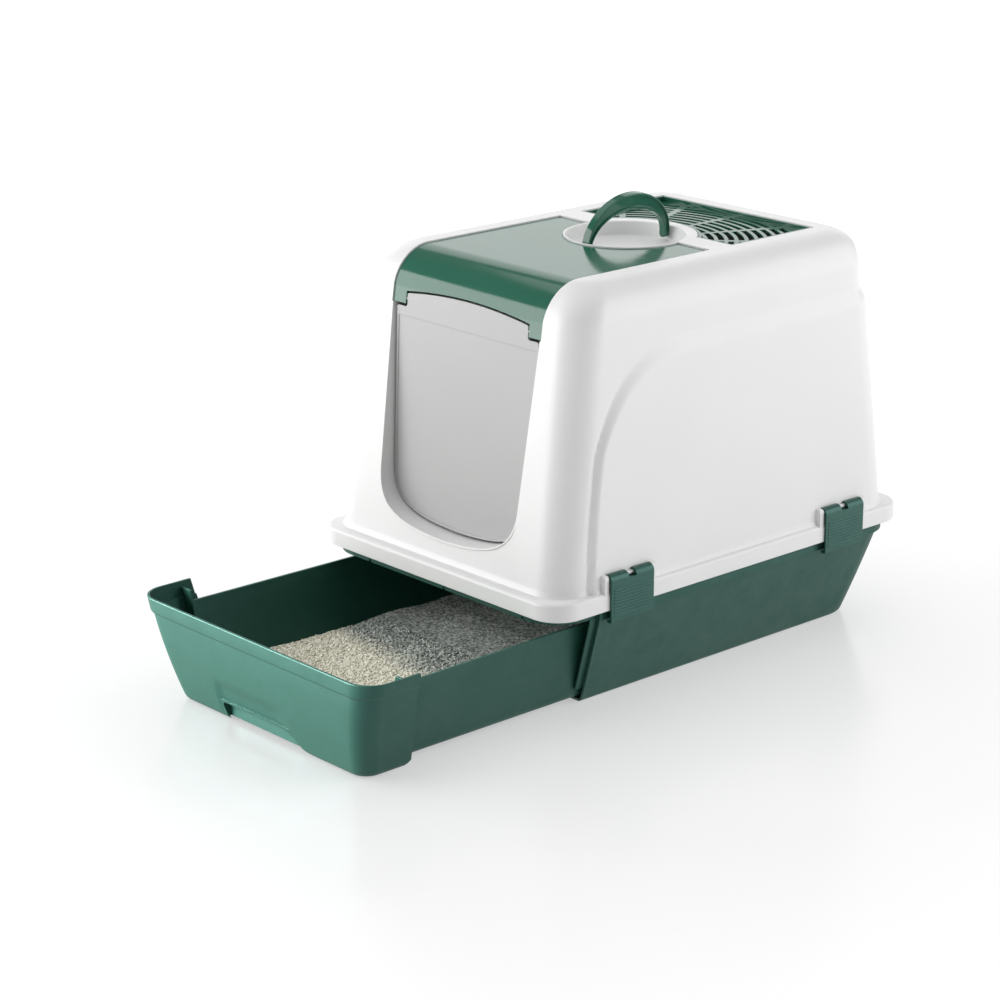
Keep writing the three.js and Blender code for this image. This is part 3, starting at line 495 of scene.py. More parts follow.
def make_visor():
    """A curved sheet that follows the hood, with side tabs, an arched front edge and rear lugs."""
    body = cut(hood_body(VISOR_SINK, 380, "visor"), hood_body(VISOR_SINK + VISOR_THICK, 370, "visor"))
    body = keep(body, roof_prism(visor_plan(0)))
    arch = bezier((TAB_INNER, ARCH_SIDE), (33, ARCH_SIDE + 1.34 * ARCH_RISE),
                  (-33, ARCH_SIDE + 1.34 * ARCH_RISE), (-TAB_INNER, ARCH_SIDE), 32)
    below = [(-FAR, 0), (FAR, 0), (FAR, TAB_BOTTOM), (TAB_INNER, TAB_BOTTOM)] + arch
    below += [(-TAB_INNER, TAB_BOTTOM), (-FAR, TAB_BOTTOM)]
    body = cut(body, prism(below, -400, -150, "xz"))
    body = keep(body, block(-FAR, FAR, -FAR, FAR, TAB_BOTTOM, FAR))
    lug = [(LUG_Y - LUG_RADIUS, LUG_Z)] + arc(LUG_Y, LUG_Z, LUG_RADIUS, 180, 360, 12)[1:]
    lug += [(LUG_Y + LUG_RADIUS, LUG_Z + 3), (LUG_Y - LUG_RADIUS, LUG_Z + 3)]
    for side in (1, -1):
        boss = rod("x", 4.2, *sorted((side * TAB_INNER, side * 107.4)), (DOOR_Y, DOOR_AXIS_Z))
        boss = keep(boss, hood_body(VISOR_SINK, 380, "visor"))
        hinge = prism(lug, *sorted((side * LUG_INNER, side * LUG_OUTER)), "yz")
        body = add(body, boss, hinge)
    eased = [(VISOR_REAR - 1.1, 460), (VISOR_REAR - 1.1, 453.6), (VISOR_REAR, 452.4), (VISOR_REAR + 3, 452.4),
             (VISOR_REAR + 3, 460)]
    return cut(body, prism(eased, -130, 130, "yz"))


# ---- door

def door_outline(shrink):
    """The door's outline: panel, shoulders with small bumps, and the arched head."""
    panel = [(x, z) for x, z in entrance_outline(-2.5 - shrink) if z < 400]
    low = [p for p in panel if p[1] <= ENTRANCE_SIDE_END + 0.1]
    half_high = ENTRANCE_HIGH - 2.5 - shrink - 0.05
    shoulder, head = 394.5 - shrink, 95.3 - shrink
    side = ARCH_SIDE - 2 - shrink
    bump = bezier((half_high - 1.5, shoulder - 4), (half_high - 1.2, shoulder + 0.5),
                  (head + 13, shoulder - 0.8), (head + 9, shoulder - 0.4), 8)
    right_top = bump + [(head + 2.5, shoulder - 0.6), (head, shoulder + 1.6)]
    right_top += [(head, side - 1), (head - 1, side)]
    crown = bezier((head - 1, side), (31, side + 1.34 * ARCH_RISE), (-31, side + 1.34 * ARCH_RISE),
                   (1 - head, side), 28)[1:-1]
    left_top = [(-x, z) for x, z in reversed(right_top)]
    return low + right_top + crown + left_top


def make_door():
    """A flat sheet with a slightly sunk field and a barrel at each pin, hung a little forward."""
    y0 = DOOR_Y - DOOR_THICK / 2
    body = prism(door_outline(0), y0, y0 + DOOR_THICK, "xz")
    field = prism(door_outline(3.0), y0 - 1, y0 + 0.7, "xz")
    body = cut(body, keep(field, block(-FAR, FAR, -FAR, FAR, 0, 384)))
    behind = block(-FAR, FAR, y0, FAR, 0, FAR)
    for side in (1, -1):
        barrel = rod("x", 4, *sorted((side * 84, side * 95.3)), (DOOR_Y, DOOR_AXIS_Z))
        body = add(body, keep(barrel, copy_of(behind)))
    bpy.data.objects.remove(behind)
    lean_about(body, DOOR_TILT, "X", (0, DOOR_Y, DOOR_AXIS_Z))
    return body


def make_door_pins():
    right = rod("x", 1.6, 95.7, 105.6, (DOOR_Y, DOOR_AXIS_Z), 20)
    return add(right, rod("x", 1.6, -105.6, -95.7, (DOOR_Y, DOOR_AXIS_Z), 20))


# ---- handle

def make_handle():
    """A half hoop, thick at its crown, with a raised rim along both edges."""
    half_span, rise, crown, leg, pivot = 63.2, 55.0, 18.0, 6.5, 447.0
    across = [(0, 4.2), (0.05, 5), (0.16, 5), (0.21, 3.0), (0.79, 3.0), (0.84, 5), (0.95, 5), (1, 4.2)]
    section = across + [(t, -x) for t, x in reversed(across)]
    rings = []
    for i in range(65):
        angle = math.pi * i / 64
        c, s = math.cos(angle), math.sin(angle)
        outer = (DISH_Y + half_span * c, pivot + rise * s)
        inner = (DISH_Y + (half_span - leg) * c, pivot + (rise - crown) * s)
        rings.append([(x, mix(outer[0], inner[0], t), mix(outer[1], inner[1], t)) for t, x in section])
    body = loft(rings, "handle")
    for side in (1, -1):
        near, far = sorted((DISH_Y + side * (half_span - leg), DISH_Y + side * half_span))
        body = add(body, rod("y", 4.6, near, far, (0, pivot)))
    lean_about(body, HANDLE_LEAN, "Y", (0, DISH_Y, pivot))
    return body


# ---- filter cover

def slot_piece(radius, start, end):
    half = SLOT_WIDTH / 2
    outline = arc(0, DISH_Y, radius + half, start, end, 10)
    outline += arc(0, DISH_Y, radius - half, end, start, 10)
    return prism(outline, 430, 470, "xy")


def make_cover():
    """A shallow dish with rings of curved slots round the handle, and a thumb tab."""
    floor = 449.0
    body = prism(cover_outline(0), COVER_LOW.z, COVER_HIGH.z, "xy")
    body = cut(body, prism(cover_outline(3.4), floor, HOOD_TOP + 5, "xy"))
    slots = None
    for row in range(SLOT_ROWS):
        for start, end in SLOT_SPANS:
            piece = slot_piece(SLOT_FIRST + SLOT_PITCH * row, start, end)
            slots = piece if slots is None else add(slots, piece)
    body = cut(body, keep(slots, prism(cover_outline(5), 430, 470, "xy")))
    tab = block(72, 92, COVER_LOW.y, COVER_LOW.y + 5, COVER_LOW.z, HOOD_TOP - 1.2)
    return add(body, tab)


def make_pad():
    """The filter pad, its edges slightly rounded."""
    rings = []
    low, high = PAD_LOW.z, PAD_HIGH.z
    for gap, z in ((4.0, low), (3.1, low + 1.2), (3.0, (low + high) / 2), (3.1, high - 1.2), (4.0, high)):
        rings.append([(x, y, z) for x, y in cover_outline(gap)])
    return loft(rings, "pad")


# ---- clips

def make_clip(centre_y):
    """A ridged flap hooked over the hood's rod, with a hook under the base's rim."""
    half = CLIP_WIDTH / 2 - 0.5
    y0, y1 = centre_y - half, centre_y + half
    outer, inner, bottom = 197.8, 195.4, 105.0
    flap = [(inner, 148), (inner, bottom + 4.5), (191.2, bottom + 2.6), (191.2, bottom)]
    flap += [(outer - 1.5, bottom), (outer - 0.3, bottom + 0.6), (outer, bottom + 2)]
    flap += arc(ROD_X, 149.8, 7.4, 0, 90, 10) + [(ROD_X, 154)]
    body = add(prism(flap, y0, y1, "xz"), rod("y", 4.6, y0, y1, (ROD_X, ROD_Z)))
    body = cut(body, rod("y", 2.45, y0 - 1, y1 + 1, (ROD_X, ROD_Z)))
    body = cut(body, block(150, 195.45, -FAR, FAR, 112, 139))
    body = cut(body, block(180, 200, centre_y - 5.5, centre_y + 5.5, 150.4, 160))
    for i in range(9):
        z = 112 + i * 3.4
        ridge = [(outer - 0.5, z)] + arc(outer - 0.2, z + 0.9, 0.9, -80, 80, 6) + [(outer - 0.5, z + 1.8)]
        body = add(body, prism(ridge, y0 + 4, y1 - 4, "xz"))
    return body


# ---- base tray

def tuck(t):
    """Fuller near the top: a wall that tucks in faster as it nears the floor."""
    return 0.31 * t + 0.69 * t * t


def base_body(inset, low, high, foot=0.0):
    """The base drawn in by an inset, with an optional rounded foot."""
    rings = []
    levels = [low + foot * (1 - math.cos(math.radians(a))) for a in (0, 20, 40, 60, 80)] if foot else []
    levels += [mix(low + foot, high, i / 14) for i in range(15)]
    for z in levels:
        t = min(max(1 - z / BASE_TOP, 0), 1)
        ease = foot - math.sqrt(max(foot ** 2 - (low + foot - z) ** 2, 0)) if z < low + foot else 0
        half = mix(BASE_HALF_TOP, BASE_HALF_LOW, t) - inset - ease
        rear = mix(BASE_REAR_TOP, BASE_REAR_LOW, tuck(t)) - inset - ease
        radius = mix(42, 40, t) - inset - 0.5 * ease
        rings.append(rounded_ring(half, BASE_FRONT, rear, radius, z, 8, 4, 12))
    return loft(rings, "base")


def ahead_of_base(shift):
    """All that lies in front of the base's slanted front edge."""
    low, high, top = BASE_EDGE_LOW + shift, BASE_EDGE_TOP + shift, BASE_TOP + 3
    return prism([(-FAR, -10), (low, -10), (low, 0), (high, top), (-FAR, top)], -450, 450, "yz")


def rim_tube(half, front, rear, low, high, thick):
    """An upright band that runs all the way round."""
    outside = loft([rounded_ring(half, front, rear, RIM_RADIUS, z, 4, 4, 12) for z in (low, high)])
    inside = loft([
        rounded_ring(half - thick, front + thick, rear - thick, RIM_RADIUS - thick, z, 4, 4, 12)
        for z in (low - 1, high + 1)
    ])
    return cut(outside, inside)


def make_base():
    """The open-fronted tray with its edge rib, the rim the hood stands on, and the crossbar."""
    high = BASE_TOP + 2
    body = cut(base_body(0, 0, high, foot=5), base_body(WALL, 3, BASE_TOP + 6), ahead_of_base(0))
    above = block(-FAR, FAR, -FAR, FAR, 18, FAR)
    rib = cut(base_body(4.2, 0, high), base_body(6.2, 3, BASE_TOP + 6))
    rib = keep(cut(keep(rib, ahead_of_base(4)), ahead_of_base(-9)), copy_of(above))
    joggle = cut(base_body(1, 0, high), base_body(6.2, 3, BASE_TOP + 6))
    joggle = keep(cut(keep(joggle, ahead_of_base(4)), ahead_of_base(1)), above)
    body = add(body, rib, joggle)
    band = rim_tube(RIM_HALF, RIM_FRONT, RIM_REAR, BASE_TOP, FLANGE_BOTTOM, RIM_BAND)
    body = add(body, keep(band, block(-FAR, FAR, BASE_EDGE_TOP - 1, FAR, 0, 200)))
    crossbar = rim_tube(185.4, RIM_FRONT, RIM_REAR - 4, CROSSBAR_BOTTOM, FLANGE_BOTTOM + 1, CROSSBAR_THICK)
    body = add(body, cut(crossbar, block(-FAR, FAR, BASE_EDGE_TOP + 2, FAR, 0, 200)))
    for top, thick in ((BASE_HIGH.z, RIM_LIP), (FLANGE_BOTTOM + 1.5, RIM_BAND)):
        body = add(body, rim_tube(RIM_HALF, BASE_LOW.y, RIM_REAR, FLANGE_BOTTOM - 1, top, thick))
    notch_low, notch_high = CROSSBAR_BOTTOM - 1, CROSSBAR_BOTTOM + 3.2
    for x in (-109, 14, 138):
        body = cut(body, block(x - 2, x + 2, RIM_FRONT - 1, RIM_FRONT + 1.6, notch_low, notch_high))
    return body


# ---- drawer

def fascia_ring(inset, z, out=0.0, dent=False):
    """The drawer's front and wrap at a height, in by an inset or out to the thicker band."""
    t = min(max(1 - z / LIP_TOP, 0), 1)
    half = mix(FASCIA_HALF_TOP, FASCIA_HALF_LOW, t) - inset + out
    front = mix(FASCIA_TOP_Y, FASCIA_LOW_Y, tuck(t)) + inset - out
    ring = rounded_ring(half, front, FASCIA_BACK, mix(27, 20, t) - inset + out, z, 6, 60, 14)
    if dent:
        ring = [(x, y + grip_dent(x, z) if y < front + 4 else y, z) for x, y, z in ring]
    return ring


def soft_step(value, start, end):
    t = min(max((value - start) / (end - start), 0), 1)
    return t * t * (3 - 2 * t)


def grip_dent(x, z):
    """The front dips a little above the finger grip, with a crease at each end."""
    across = soft_step(x, GRIP_LEFT - 3.5, GRIP_LEFT + 0.5) * (1 - soft_step(x, 18, 48 + (38 - z) * 0.5))
    return 2.2 * across * (1 - soft_step(z, 36, 50))


def fascia_body(inset, low, high, out=0.0, dent=False):
    steps = 44 if dent else 10
    heights = [mix(low, high, i / steps) for i in range(steps + 1)]
    return loft([fascia_ring(inset, z, out, dent) for z in heights], "fascia")


def band_body(inset):
    """The thicker band along the top, with an eased ledge below and a rounded lip."""
    out = BAND_OUT - inset
    low = LEDGE + (1 if inset else 0)
    if inset:
        rings = [fascia_ring(0, low, out), fascia_ring(0, LIP_TOP + 2, out)]
        return loft(rings, "band")
    profile = [(0.1, low - 1.2), (0.7, low - 0.9), (1.7, low), (2.3, low + 1), (2.6, low + 2.4)]
    lip = 1.3
    profile += [(BAND_OUT, mix(low + 2.4, LIP_TOP - lip, i / 3)) for i in (1, 2)]
    profile += [(BAND_OUT - lip + x, z) for x, z in arc(0, LIP_TOP - lip, lip, 0, 90, 5)]
    rings = [fascia_ring(0, z, lift) for lift, z in profile]
    return loft(rings, "band")


def inner_tray(inset, low, foot=0.0, high=TRAY_TOP):
    """The litter tray behind the front: narrower at the rear, with an optional rounded foot."""
    rings = []
    levels = [low + foot * (1 - math.cos(math.radians(a))) for a in (0, 20, 40, 60, 80)] if foot else []
    levels += [mix(low + foot, high, i / 8) for i in range(9)]
    for z in levels:
        t = 1 - (z - TRAY_BOTTOM) / (TRAY_TOP - TRAY_BOTTOM)
        ease = foot - math.sqrt(max(foot ** 2 - (low + foot - z) ** 2, 0)) if z < low + foot else 0
        front_half = mix(TRAY_HALF_TOP, TRAY_HALF_LOW, t) - inset - ease
        rear_half = mix(TRAY_HALF_REAR, TRAY_HALF_LOW - 1, t) - inset - ease
        back = TRAY_REAR - 10 * t - inset - ease
        ring = rounded_ring(front_half, TRAY_FRONT, back, 24 - inset, z, 8, 4, 10)
        narrow, length = rear_half / front_half, back - TRAY_FRONT
        rings.append([(x * mix(1, narrow, (y - TRAY_FRONT) / length), y, z) for x, y, z in ring])
    return loft(rings, "tray")


def behind_wrap(shift):
    """All that lies behind the slanted end of the front's wrap, its lower corner cut off."""
    low, high = WRAP_END_LOW + shift, WRAP_END_TOP + shift
    return prism([
        (low - 8, -10), (low - 8, 0.5), (low - 0.6, 8), (high, LIP_TOP), (high, 140), (FAR, 140), (FAR, -10),
    ], -450, 450, "yz")


def grip_outline():
    """The finger grip's opening seen from the front, with its long curve on the right."""
    left = [(GRIP_LEFT + 7, -6), (GRIP_LEFT + 2.6, 6), (GRIP_LEFT + 0.6, GRIP_TOP - 4)]
    left += arc(GRIP_LEFT + 5, GRIP_TOP - 4.4, 4.4, 180, 90, 5)[1:]
    right = bezier((GRIP_RIGHT - 14, GRIP_TOP), (GRIP_RIGHT + 8, GRIP_TOP - 1), (GRIP_RIGHT + 6, 3),
                   (GRIP_RIGHT + 33, 1.2), 14)
    return left + right + [(GRIP_RIGHT + 33, -6)]


def make_drawer():
    """The front with its wrap-round ends and finger grip, joined to the litter tray."""
    wrap = cut(add(fascia_body(0, 0, LIP_TOP - 2, dent=True), band_body(0)), behind_wrap(0))
    wrap = cut(wrap, fillet_cutter())
    body = add(wrap, inner_tray(0, TRAY_BOTTOM, foot=7))
    floor = TRAY_BOTTOM + WALL
    room = add(fascia_body(WALL, floor, LIP_TOP + 1), band_body(WALL))
    front_room = keep(copy_of(room), block(-FAR, FAR, -FAR, RETURN_Y, 0, 200))
    body = cut(body, front_room)
    body = cut(body, inner_tray(WALL, floor, foot=5, high=TRAY_TOP + 30))
    body = cut(body, block(-NOSE_HALF_BACK, NOSE_HALF_BACK, NOSE_BACK, -400, floor, 80))
    hollow = add(fascia_body(WALL, -5, LIP_TOP + 1), room)
    behind = keep(copy_of(hollow), block(-FAR, FAR, RETURN_Y + WALL, FAR, -10, 200))
    body = cut(body, cut(behind, inner_tray(0, TRAY_BOTTOM)))
    body = cut(body, keep(hollow, block(-FAR, FAR, RETURN_Y - 1, FAR, 109.5, 200)))
    body = cut(body, keep(fascia_body(WALL, -5, TRAY_BOTTOM), block(-FAR, FAR, -FAR, FAR, -10, TRAY_BOTTOM)))
    pocket = keep(block(GRIP_LEFT - 2, GRIP_RIGHT + 38, -515, GRIP_BACK + WALL, TRAY_BOTTOM, GRIP_TOP + WALL),
                  fascia_body(0.4, 0, LIP_TOP))
    body = add(body, pocket)
    return cut(body, prism(grip_outline(), -FAR, GRIP_BACK, "xz"))


def fillet_cutter():
    """Rounds the front's bottom edge."""
    radius = 7.0
    outer = block(-FAR, FAR, -FAR, -350, -5, radius)
    rings = []
    for a in (0, 15, 30, 45, 60, 75, 90):
        z = radius * (1 - math.cos(math.radians(a)))
        rings.append(fascia_ring(radius * (1 - math.sin(math.radians(a))), z))
    rings.insert(0, [(x, y, -6) for x, y, z in rings[0]])
    return cut(outer, loft(rings, "foot"))


# ---- litter

def litter_height(x, y):
    """The bed's uneven surface."""
    swell = noise.noise(Vector((x / 46, y / 60, 3.1))) * 2.6
    ripple = noise.noise(Vector((x / 13, y / 13, 8.7))) * 0.9
    return LITTER_LEVEL - 0.6 + swell + ripple


def litter_half(y):
    """Half the bed's width at a distance along the drawer."""
    t = 1 - (LITTER_LEVEL - TRAY_BOTTOM) / (TRAY_TOP - TRAY_BOTTOM)
    along = (y - TRAY_FRONT) / (TRAY_REAR - TRAY_FRONT)
    front_half, rear_half = mix(TRAY_HALF_TOP, TRAY_HALF_LOW, t), mix(TRAY_HALF_REAR, TRAY_HALF_LOW - 1, t)
    if y > NOSE_BACK:
        return mix(front_half, rear_half, along) - WALL
    return mix(NOSE_HALF_FRONT, NOSE_HALF_BACK, (y - NOSE_FRONT) / (NOSE_BACK - NOSE_FRONT))


def make_litter():
    """The bed: a rippled top closed down to the tray's floor and fitted to its walls."""
    front, back, rows, columns = -502.0, TRAY_REAR - 10.5, 190, 110
    vertices, faces = [], []
    for r in range(rows + 1):
        y = mix(front, back, r / rows)
        half = litter_half(y) - 0.2
        for c in range(columns + 1):
            x = mix(-half, half, c / columns)
            vertices.append((x, y, litter_height(x, y)))
    for r in range(rows):
        for c in range(columns):
            a = r * (columns + 1) + c
            faces.append((a, a + 1, a + columns + 2, a + columns + 1))
    top = new_object("litter_top", vertices, faces)
    work = bmesh.new()
    work.from_mesh(top.data)
    rim = [e for e in work.edges if e.is_boundary]
    ring = bmesh.ops.extrude_edge_only(work, edges=rim)["geom"]
    lowered = [v for v in ring if isinstance(v, bmesh.types.BMVert)]
    for vertex in lowered:
        vertex.co.z = (TRAY_BOTTOM + WALL + 0.4) * MM
    bmesh.ops.contextual_create(work, geom=[e for e in ring if isinstance(e, bmesh.types.BMEdge)])
    bmesh.ops.recalc_face_normals(work, faces=work.faces)
    work.to_mesh(top.data)
    work.free()
    floor = TRAY_BOTTOM + WALL + 0.3
    nose = block(-NOSE_HALF_BACK, NOSE_HALF_BACK, -FAR, RETURN_Y + 3, 0, 80)
    ahead = keep(fascia_body(WALL + 0.3, floor, 60), nose)
    top = keep(top, add(inner_tray(WALL + 0.3, floor, foot=5, high=60), ahead))
    clear = block(GRIP_LEFT - 3, GRIP_RIGHT + 40, -FAR, GRIP_BACK + WALL + 0.4, 0, GRIP_TOP + WALL + 0.4)
    return cut(top, clear)


def make_granules():
    """Loose pellets that cover the bed where it can be seen."""
    chance = random.Random(7)
    vertices, faces = [], []
    for _ in range(GRANULES):
        y = mix(-500.0, -232.0, chance.random())
        half = litter_half(y) - 2.2
        x = mix(-half, half, chance.random())
        z = litter_height(x, y) + chance.uniform(-0.2, 0.9)
        size = chance.uniform(0.95, 1.75)
        turn, stretch = chance.uniform(0, math.pi), chance.uniform(0.8, 1.6)
        start = len(vertices)
        for a, b, c in GRANULE:
            u, v = a * size * stretch, b * size
            bump = 1 + chance.uniform(-0.16, 0.16)
            vertices.append((
                x + (u * math.cos(turn) - v * math.sin(turn)) * bump,
                y + (u * math.sin(turn) + v * math.cos(turn)) * bump,
                z + c * size * 0.85 * bump,
            ))
        faces += [tuple(start + i for i in face) for face in GRANULE_FACES]
    return new_object("litter_granules", vertices, faces)


def granule_shape():
    work = bmesh.new()
    bmesh.ops.create_icosphere(work, subdivisions=1, radius=1)
    points = [tuple(v.co) for v in work.verts]
    sides = [tuple(v.index for v in f.verts) for f in work.faces]
    work.free()
    return points, sides


GRANULE, GRANULE_FACES = granule_shape()


# ---- materials

class Nodes:
    """A material's node tree, with short ways to add and join nodes."""

    def __init__(self, name):
        self.material = bpy.data.materials.new(name)
        self.material.use_nodes = True
        self.tree = self.material.node_tree
        self.shader = self.tree.nodes["Principled BSDF"]
        self.place = self.add("ShaderNodeTexCoord").outputs["Object"]

    def add(self, kind, **inputs):
        node = self.tree.nodes.new(kind)
        for key, value in inputs.items():
            node.inputs[key.replace("_", " ")].default_value = value
        return node

    def join(self, output, target):
        self.tree.links.new(output, target)

    def noise(self, scale, detail=3.0, roughness=0.5):
        node = self.add("ShaderNodeTexNoise", Scale=scale, Detail=detail, Roughness=roughness)
        self.join(self.place, node.inputs["Vector"])
        return node.outputs["Fac"]

    def ranged(self, value, low, high, start=0.3, end=0.7):
        node = self.add("ShaderNodeMapRange")
        for key, number in (("From Min", start), ("From Max", end), ("To Min", low), ("To Max", high)):
            node.inputs[key].default_value = number
        self.join(value, node.inputs["Value"])
        return node.outputs["Result"]

    def ramp(self, value, stops):
        node = self.add("ShaderNodeValToRGB")
        elements = node.color_ramp.elements
        for i, (position, colour) in enumerate(stops):
            element = elements[i] if i < 2 else elements.new(position)
            element.position = position
            element.color = (*colour, 1)
        self.join(value, node.inputs["Fac"])
        return node.outputs["Color"]

    def bump(self, height, strength, distance, below=None):
        node = self.add("ShaderNodeBump", Strength=strength, Distance=distance)
        self.join(height, node.inputs["Height"])
        if below:
            self.join(below, node.inputs["Normal"])
        return node.outputs["Normal"]

    def rounded(self, radius):
        """Normals that turn round each sharp edge, as a moulded edge does."""
        node = self.add("ShaderNodeBevel", Radius=radius)
        node.samples = 6
        return node.outputs["Normal"]

    def set(self, **inputs):
        for key, value in inputs.items():
            self.shader.inputs[key.replace("_", " ")].default_value = value


def shade(colour, factor):
    return tuple(min(c * factor, 1) for c in colour)


def moulded_plastic(name, colour, rough, grain=0.0, edge=0.0006, tone=0.05, gloss=0.5, tint=(1, 1, 1)):
    """Moulded plastic: a fine grain, slow changes of gloss and tone, rounded edges."""
    n = Nodes(name)
    cloudy = n.ramp(n.noise(9, 4), [(0.3, shade(colour, 1 - tone)), (0.7, shade(colour, 1 + tone))])
    n.join(cloudy, n.shader.inputs["Base Color"])
    n.join(n.ranged(n.noise(35, 5, 0.65), rough * 0.85, rough * 1.2), n.shader.inputs["Roughness"])
    normal = n.rounded(edge)
    normal = n.bump(n.noise(14, 2), 0.06, 0.002, normal)
    if grain:
        normal = n.bump(n.noise(2600, 2, 0.6), grain, 0.0002, normal)
    n.join(normal, n.shader.inputs["Normal"])
    n.set(IOR=1.49, Specular_IOR_Level=gloss, Specular_Tint=(*tint, 1))
    return n.material


def smoky_plastic(name):
    """The door: a smoky sheet, nearly opaque, softly frosted by use."""
    n = Nodes(name)
    tint = n.ramp(n.noise(4, 1), [(0.0, (0.43, 0.43, 0.43)), (1.0, (0.49, 0.49, 0.49))])
    n.join(tint, n.shader.inputs["Base Color"])
    n.join(n.ranged(n.noise(9, 3), 0.29, 0.36, 0, 1), n.shader.inputs["Roughness"])
    n.join(n.bump(n.noise(2200, 2, 0.6), 0.05, 0.0002, n.rounded(0.0006)), n.shader.inputs["Normal"])
    n.set(IOR=1.49, Alpha=0.97)
    return n.material


def carbon_pad(name):
    """Matted black fibres."""
    n = Nodes(name)
    fibres = n.noise(900, 6, 0.75)
    black = n.ramp(fibres, [(0.35, (0.008, 0.008, 0.008)), (0.7, (0.05, 0.05, 0.05))])
    n.join(black, n.shader.inputs["Base Color"])
    n.join(n.ranged(n.noise(60, 3), 0.85, 1.0), n.shader.inputs["Roughness"])
    n.join(n.bump(fibres, 0.8, 0.001), n.shader.inputs["Normal"])
    return n.material


def granules_material(name):
    """Beige pellets, each a little different; behind a slanted line across the bed they take darker, greyer
    colours, a painted shade that stands for the hood's shadow.
    """
    n = Nodes(name)
    along = n.add("ShaderNodeVectorMath")
    along.operation = "DOT_PRODUCT"
    along.inputs[1].default_value = (0.157, 1, 0)
    n.join(n.place, along.inputs[0])
    uneven = n.add("ShaderNodeMath")
    uneven.operation = "MULTIPLY_ADD"
    uneven.inputs[1].default_value = 0.05
    n.join(n.noise(22, 3), uneven.inputs[0])
    n.join(along.outputs["Value"], uneven.inputs[2])
    # Painted shadow edge: a slanted line across the bed, made uneven by noise, past which the pellets take
    # the darker colours.
    hood_shade_zone = n.ranged(uneven.outputs["Value"], 0.0, 1.0, -0.297, -0.257)
    grains = n.add("ShaderNodeTexVoronoi", Scale=430.0)
    n.join(n.place, grains.inputs["Vector"])
    pick = n.add("ShaderNodeSeparateColor")
    n.join(grains.outputs["Color"], pick.inputs["Color"])
    beiges = [(0.0, (0.5, 0.47, 0.36)), (0.45, (0.72, 0.7, 0.57)), (1.0, (0.92, 0.9, 0.8))]
    # Painted shade: these darker, greyer colours stand for the hood's shadow on the rear of the bed.
    shade_greys = [(0.0, (0.12, 0.13, 0.12)), (0.5, (0.34, 0.37, 0.34)), (1.0, (0.68, 0.7, 0.66))]
    beige = n.ramp(pick.outputs["Red"], beiges)
    shade_grey = n.ramp(pick.outputs["Red"], shade_greys)
    blend = n.add("ShaderNodeMix")
    blend.data_type = "RGBA"
    n.join(hood_shade_zone, blend.inputs["Factor"])
    n.join(beige, blend.inputs["A"])
    n.join(shade_grey, blend.inputs["B"])
    n.join(blend.outputs["Result"], n.shader.inputs["Base Color"])
    n.join(n.ranged(pick.outputs["Green"], 0.7, 1.0, 0, 1), n.shader.inputs["Roughness"])
    n.join(n.bump(n.noise(1400, 3, 0.6), 0.7, 0.0008), n.shader.inputs["Normal"])
    return n.material


SAGE = (0.01, 0.052, 0.036)
BOTTLE = (0.022, 0.122, 0.078)
WHITE = (0.82, 0.82, 0.817)
COOL_SHEEN = (0.5, 1.0, 0.92)

white_plastic = moulded_plastic("hood_white", WHITE, 0.34, grain=0.12, edge=0.0011, tone=0.012)
sage_plastic = moulded_plastic("tray_green", SAGE, 0.48, grain=0.16, gloss=0.75, tint=COOL_SHEEN)
clip_plastic = moulded_plastic("clip_green", SAGE, 0.36, grain=0.15, edge=0.0004, gloss=0.75, tint=COOL_SHEEN)
gloss_plastic = moulded_plastic("gloss_green", BOTTLE, 0.12, edge=0.0005)
pin_plastic = moulded_plastic("pin_white", WHITE, 0.4, grain=0.1)
door_plastic = smoky_plastic("clear_door")
carbon = carbon_pad("charcoal")
pellets = granules_material("litter_granules")


# ---- assembly

def finish_piece(piece, name, body, material, nodes, angle=32):
    """Names a piece, gives it its look, and makes it ride in place of its CAD nodes."""
    piece.name = name
    piece.data.name = name
    piece.data.materials.clear()
    piece.data.materials.append(material)
    for polygon in piece.data.polygons:
        polygon.material_index = 0
    piece.data.shade_smooth()
    piece.data.set_sharp_from_angle(angle=math.radians(angle))
    weighted = piece.modifiers.new("flats", "WEIGHTED_NORMAL")
    weighted.keep_sharp = True
    weighted.mode = "FACE_AREA"
    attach(piece, body)
    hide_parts(*nodes)
    return piece


finish_piece(make_hood(), "hood", "hood", white_plastic, ["hood_shell"])
finish_piece(make_visor(), "visor_cover", "visor", gloss_plastic, ["visor"])
finish_piece(make_door(), "entrance_door", "door", door_plastic, ["swing_door"])
door_pins = ["door_pin_right", "door_pin_left"]
finish_piece(make_door_pins(), "door_pins", "visor", pin_plastic, door_pins)
finish_piece(make_handle(), "handle_arch", "handle", gloss_plastic, ["carry_handle"])
finish_piece(make_cover(), "filter_grille", "filter_lid", gloss_plastic, ["filter_cover"])
filter_pad = finish_piece(make_pad(), "filter_pad", "hood", carbon, ["charcoal_filter"])
for end, centre in zip(("front", "rear"), CLIP_CENTRES):
    for side, word in ((1, "right"), (-1, "left")):
        node = f"clip_{end}_{word}"
        clip = on_side(lambda: make_clip(centre), side)
        finish_piece(clip, f"{node}_latch", node, clip_plastic, [node])
finish_piece(make_base(), "base", "base", sage_plastic, ["base_tray"])
litter_drawer = finish_piece(make_drawer(), "litter_drawer", "drawer", sage_plastic, ["drawer"])
litter_bed = finish_piece(make_litter(), "litter_bed", "drawer", pellets, ["litter"])
loose = make_granules()
litter_pellets = finish_piece(loose, "litter_pellets", "drawer", pellets, [], angle=80)
for node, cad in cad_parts.items():
    if node.startswith(("visor_pin", "handle_pin")):
        for slot in cad.material_slots:
            slot.material = pin_plastic


# ---- stage

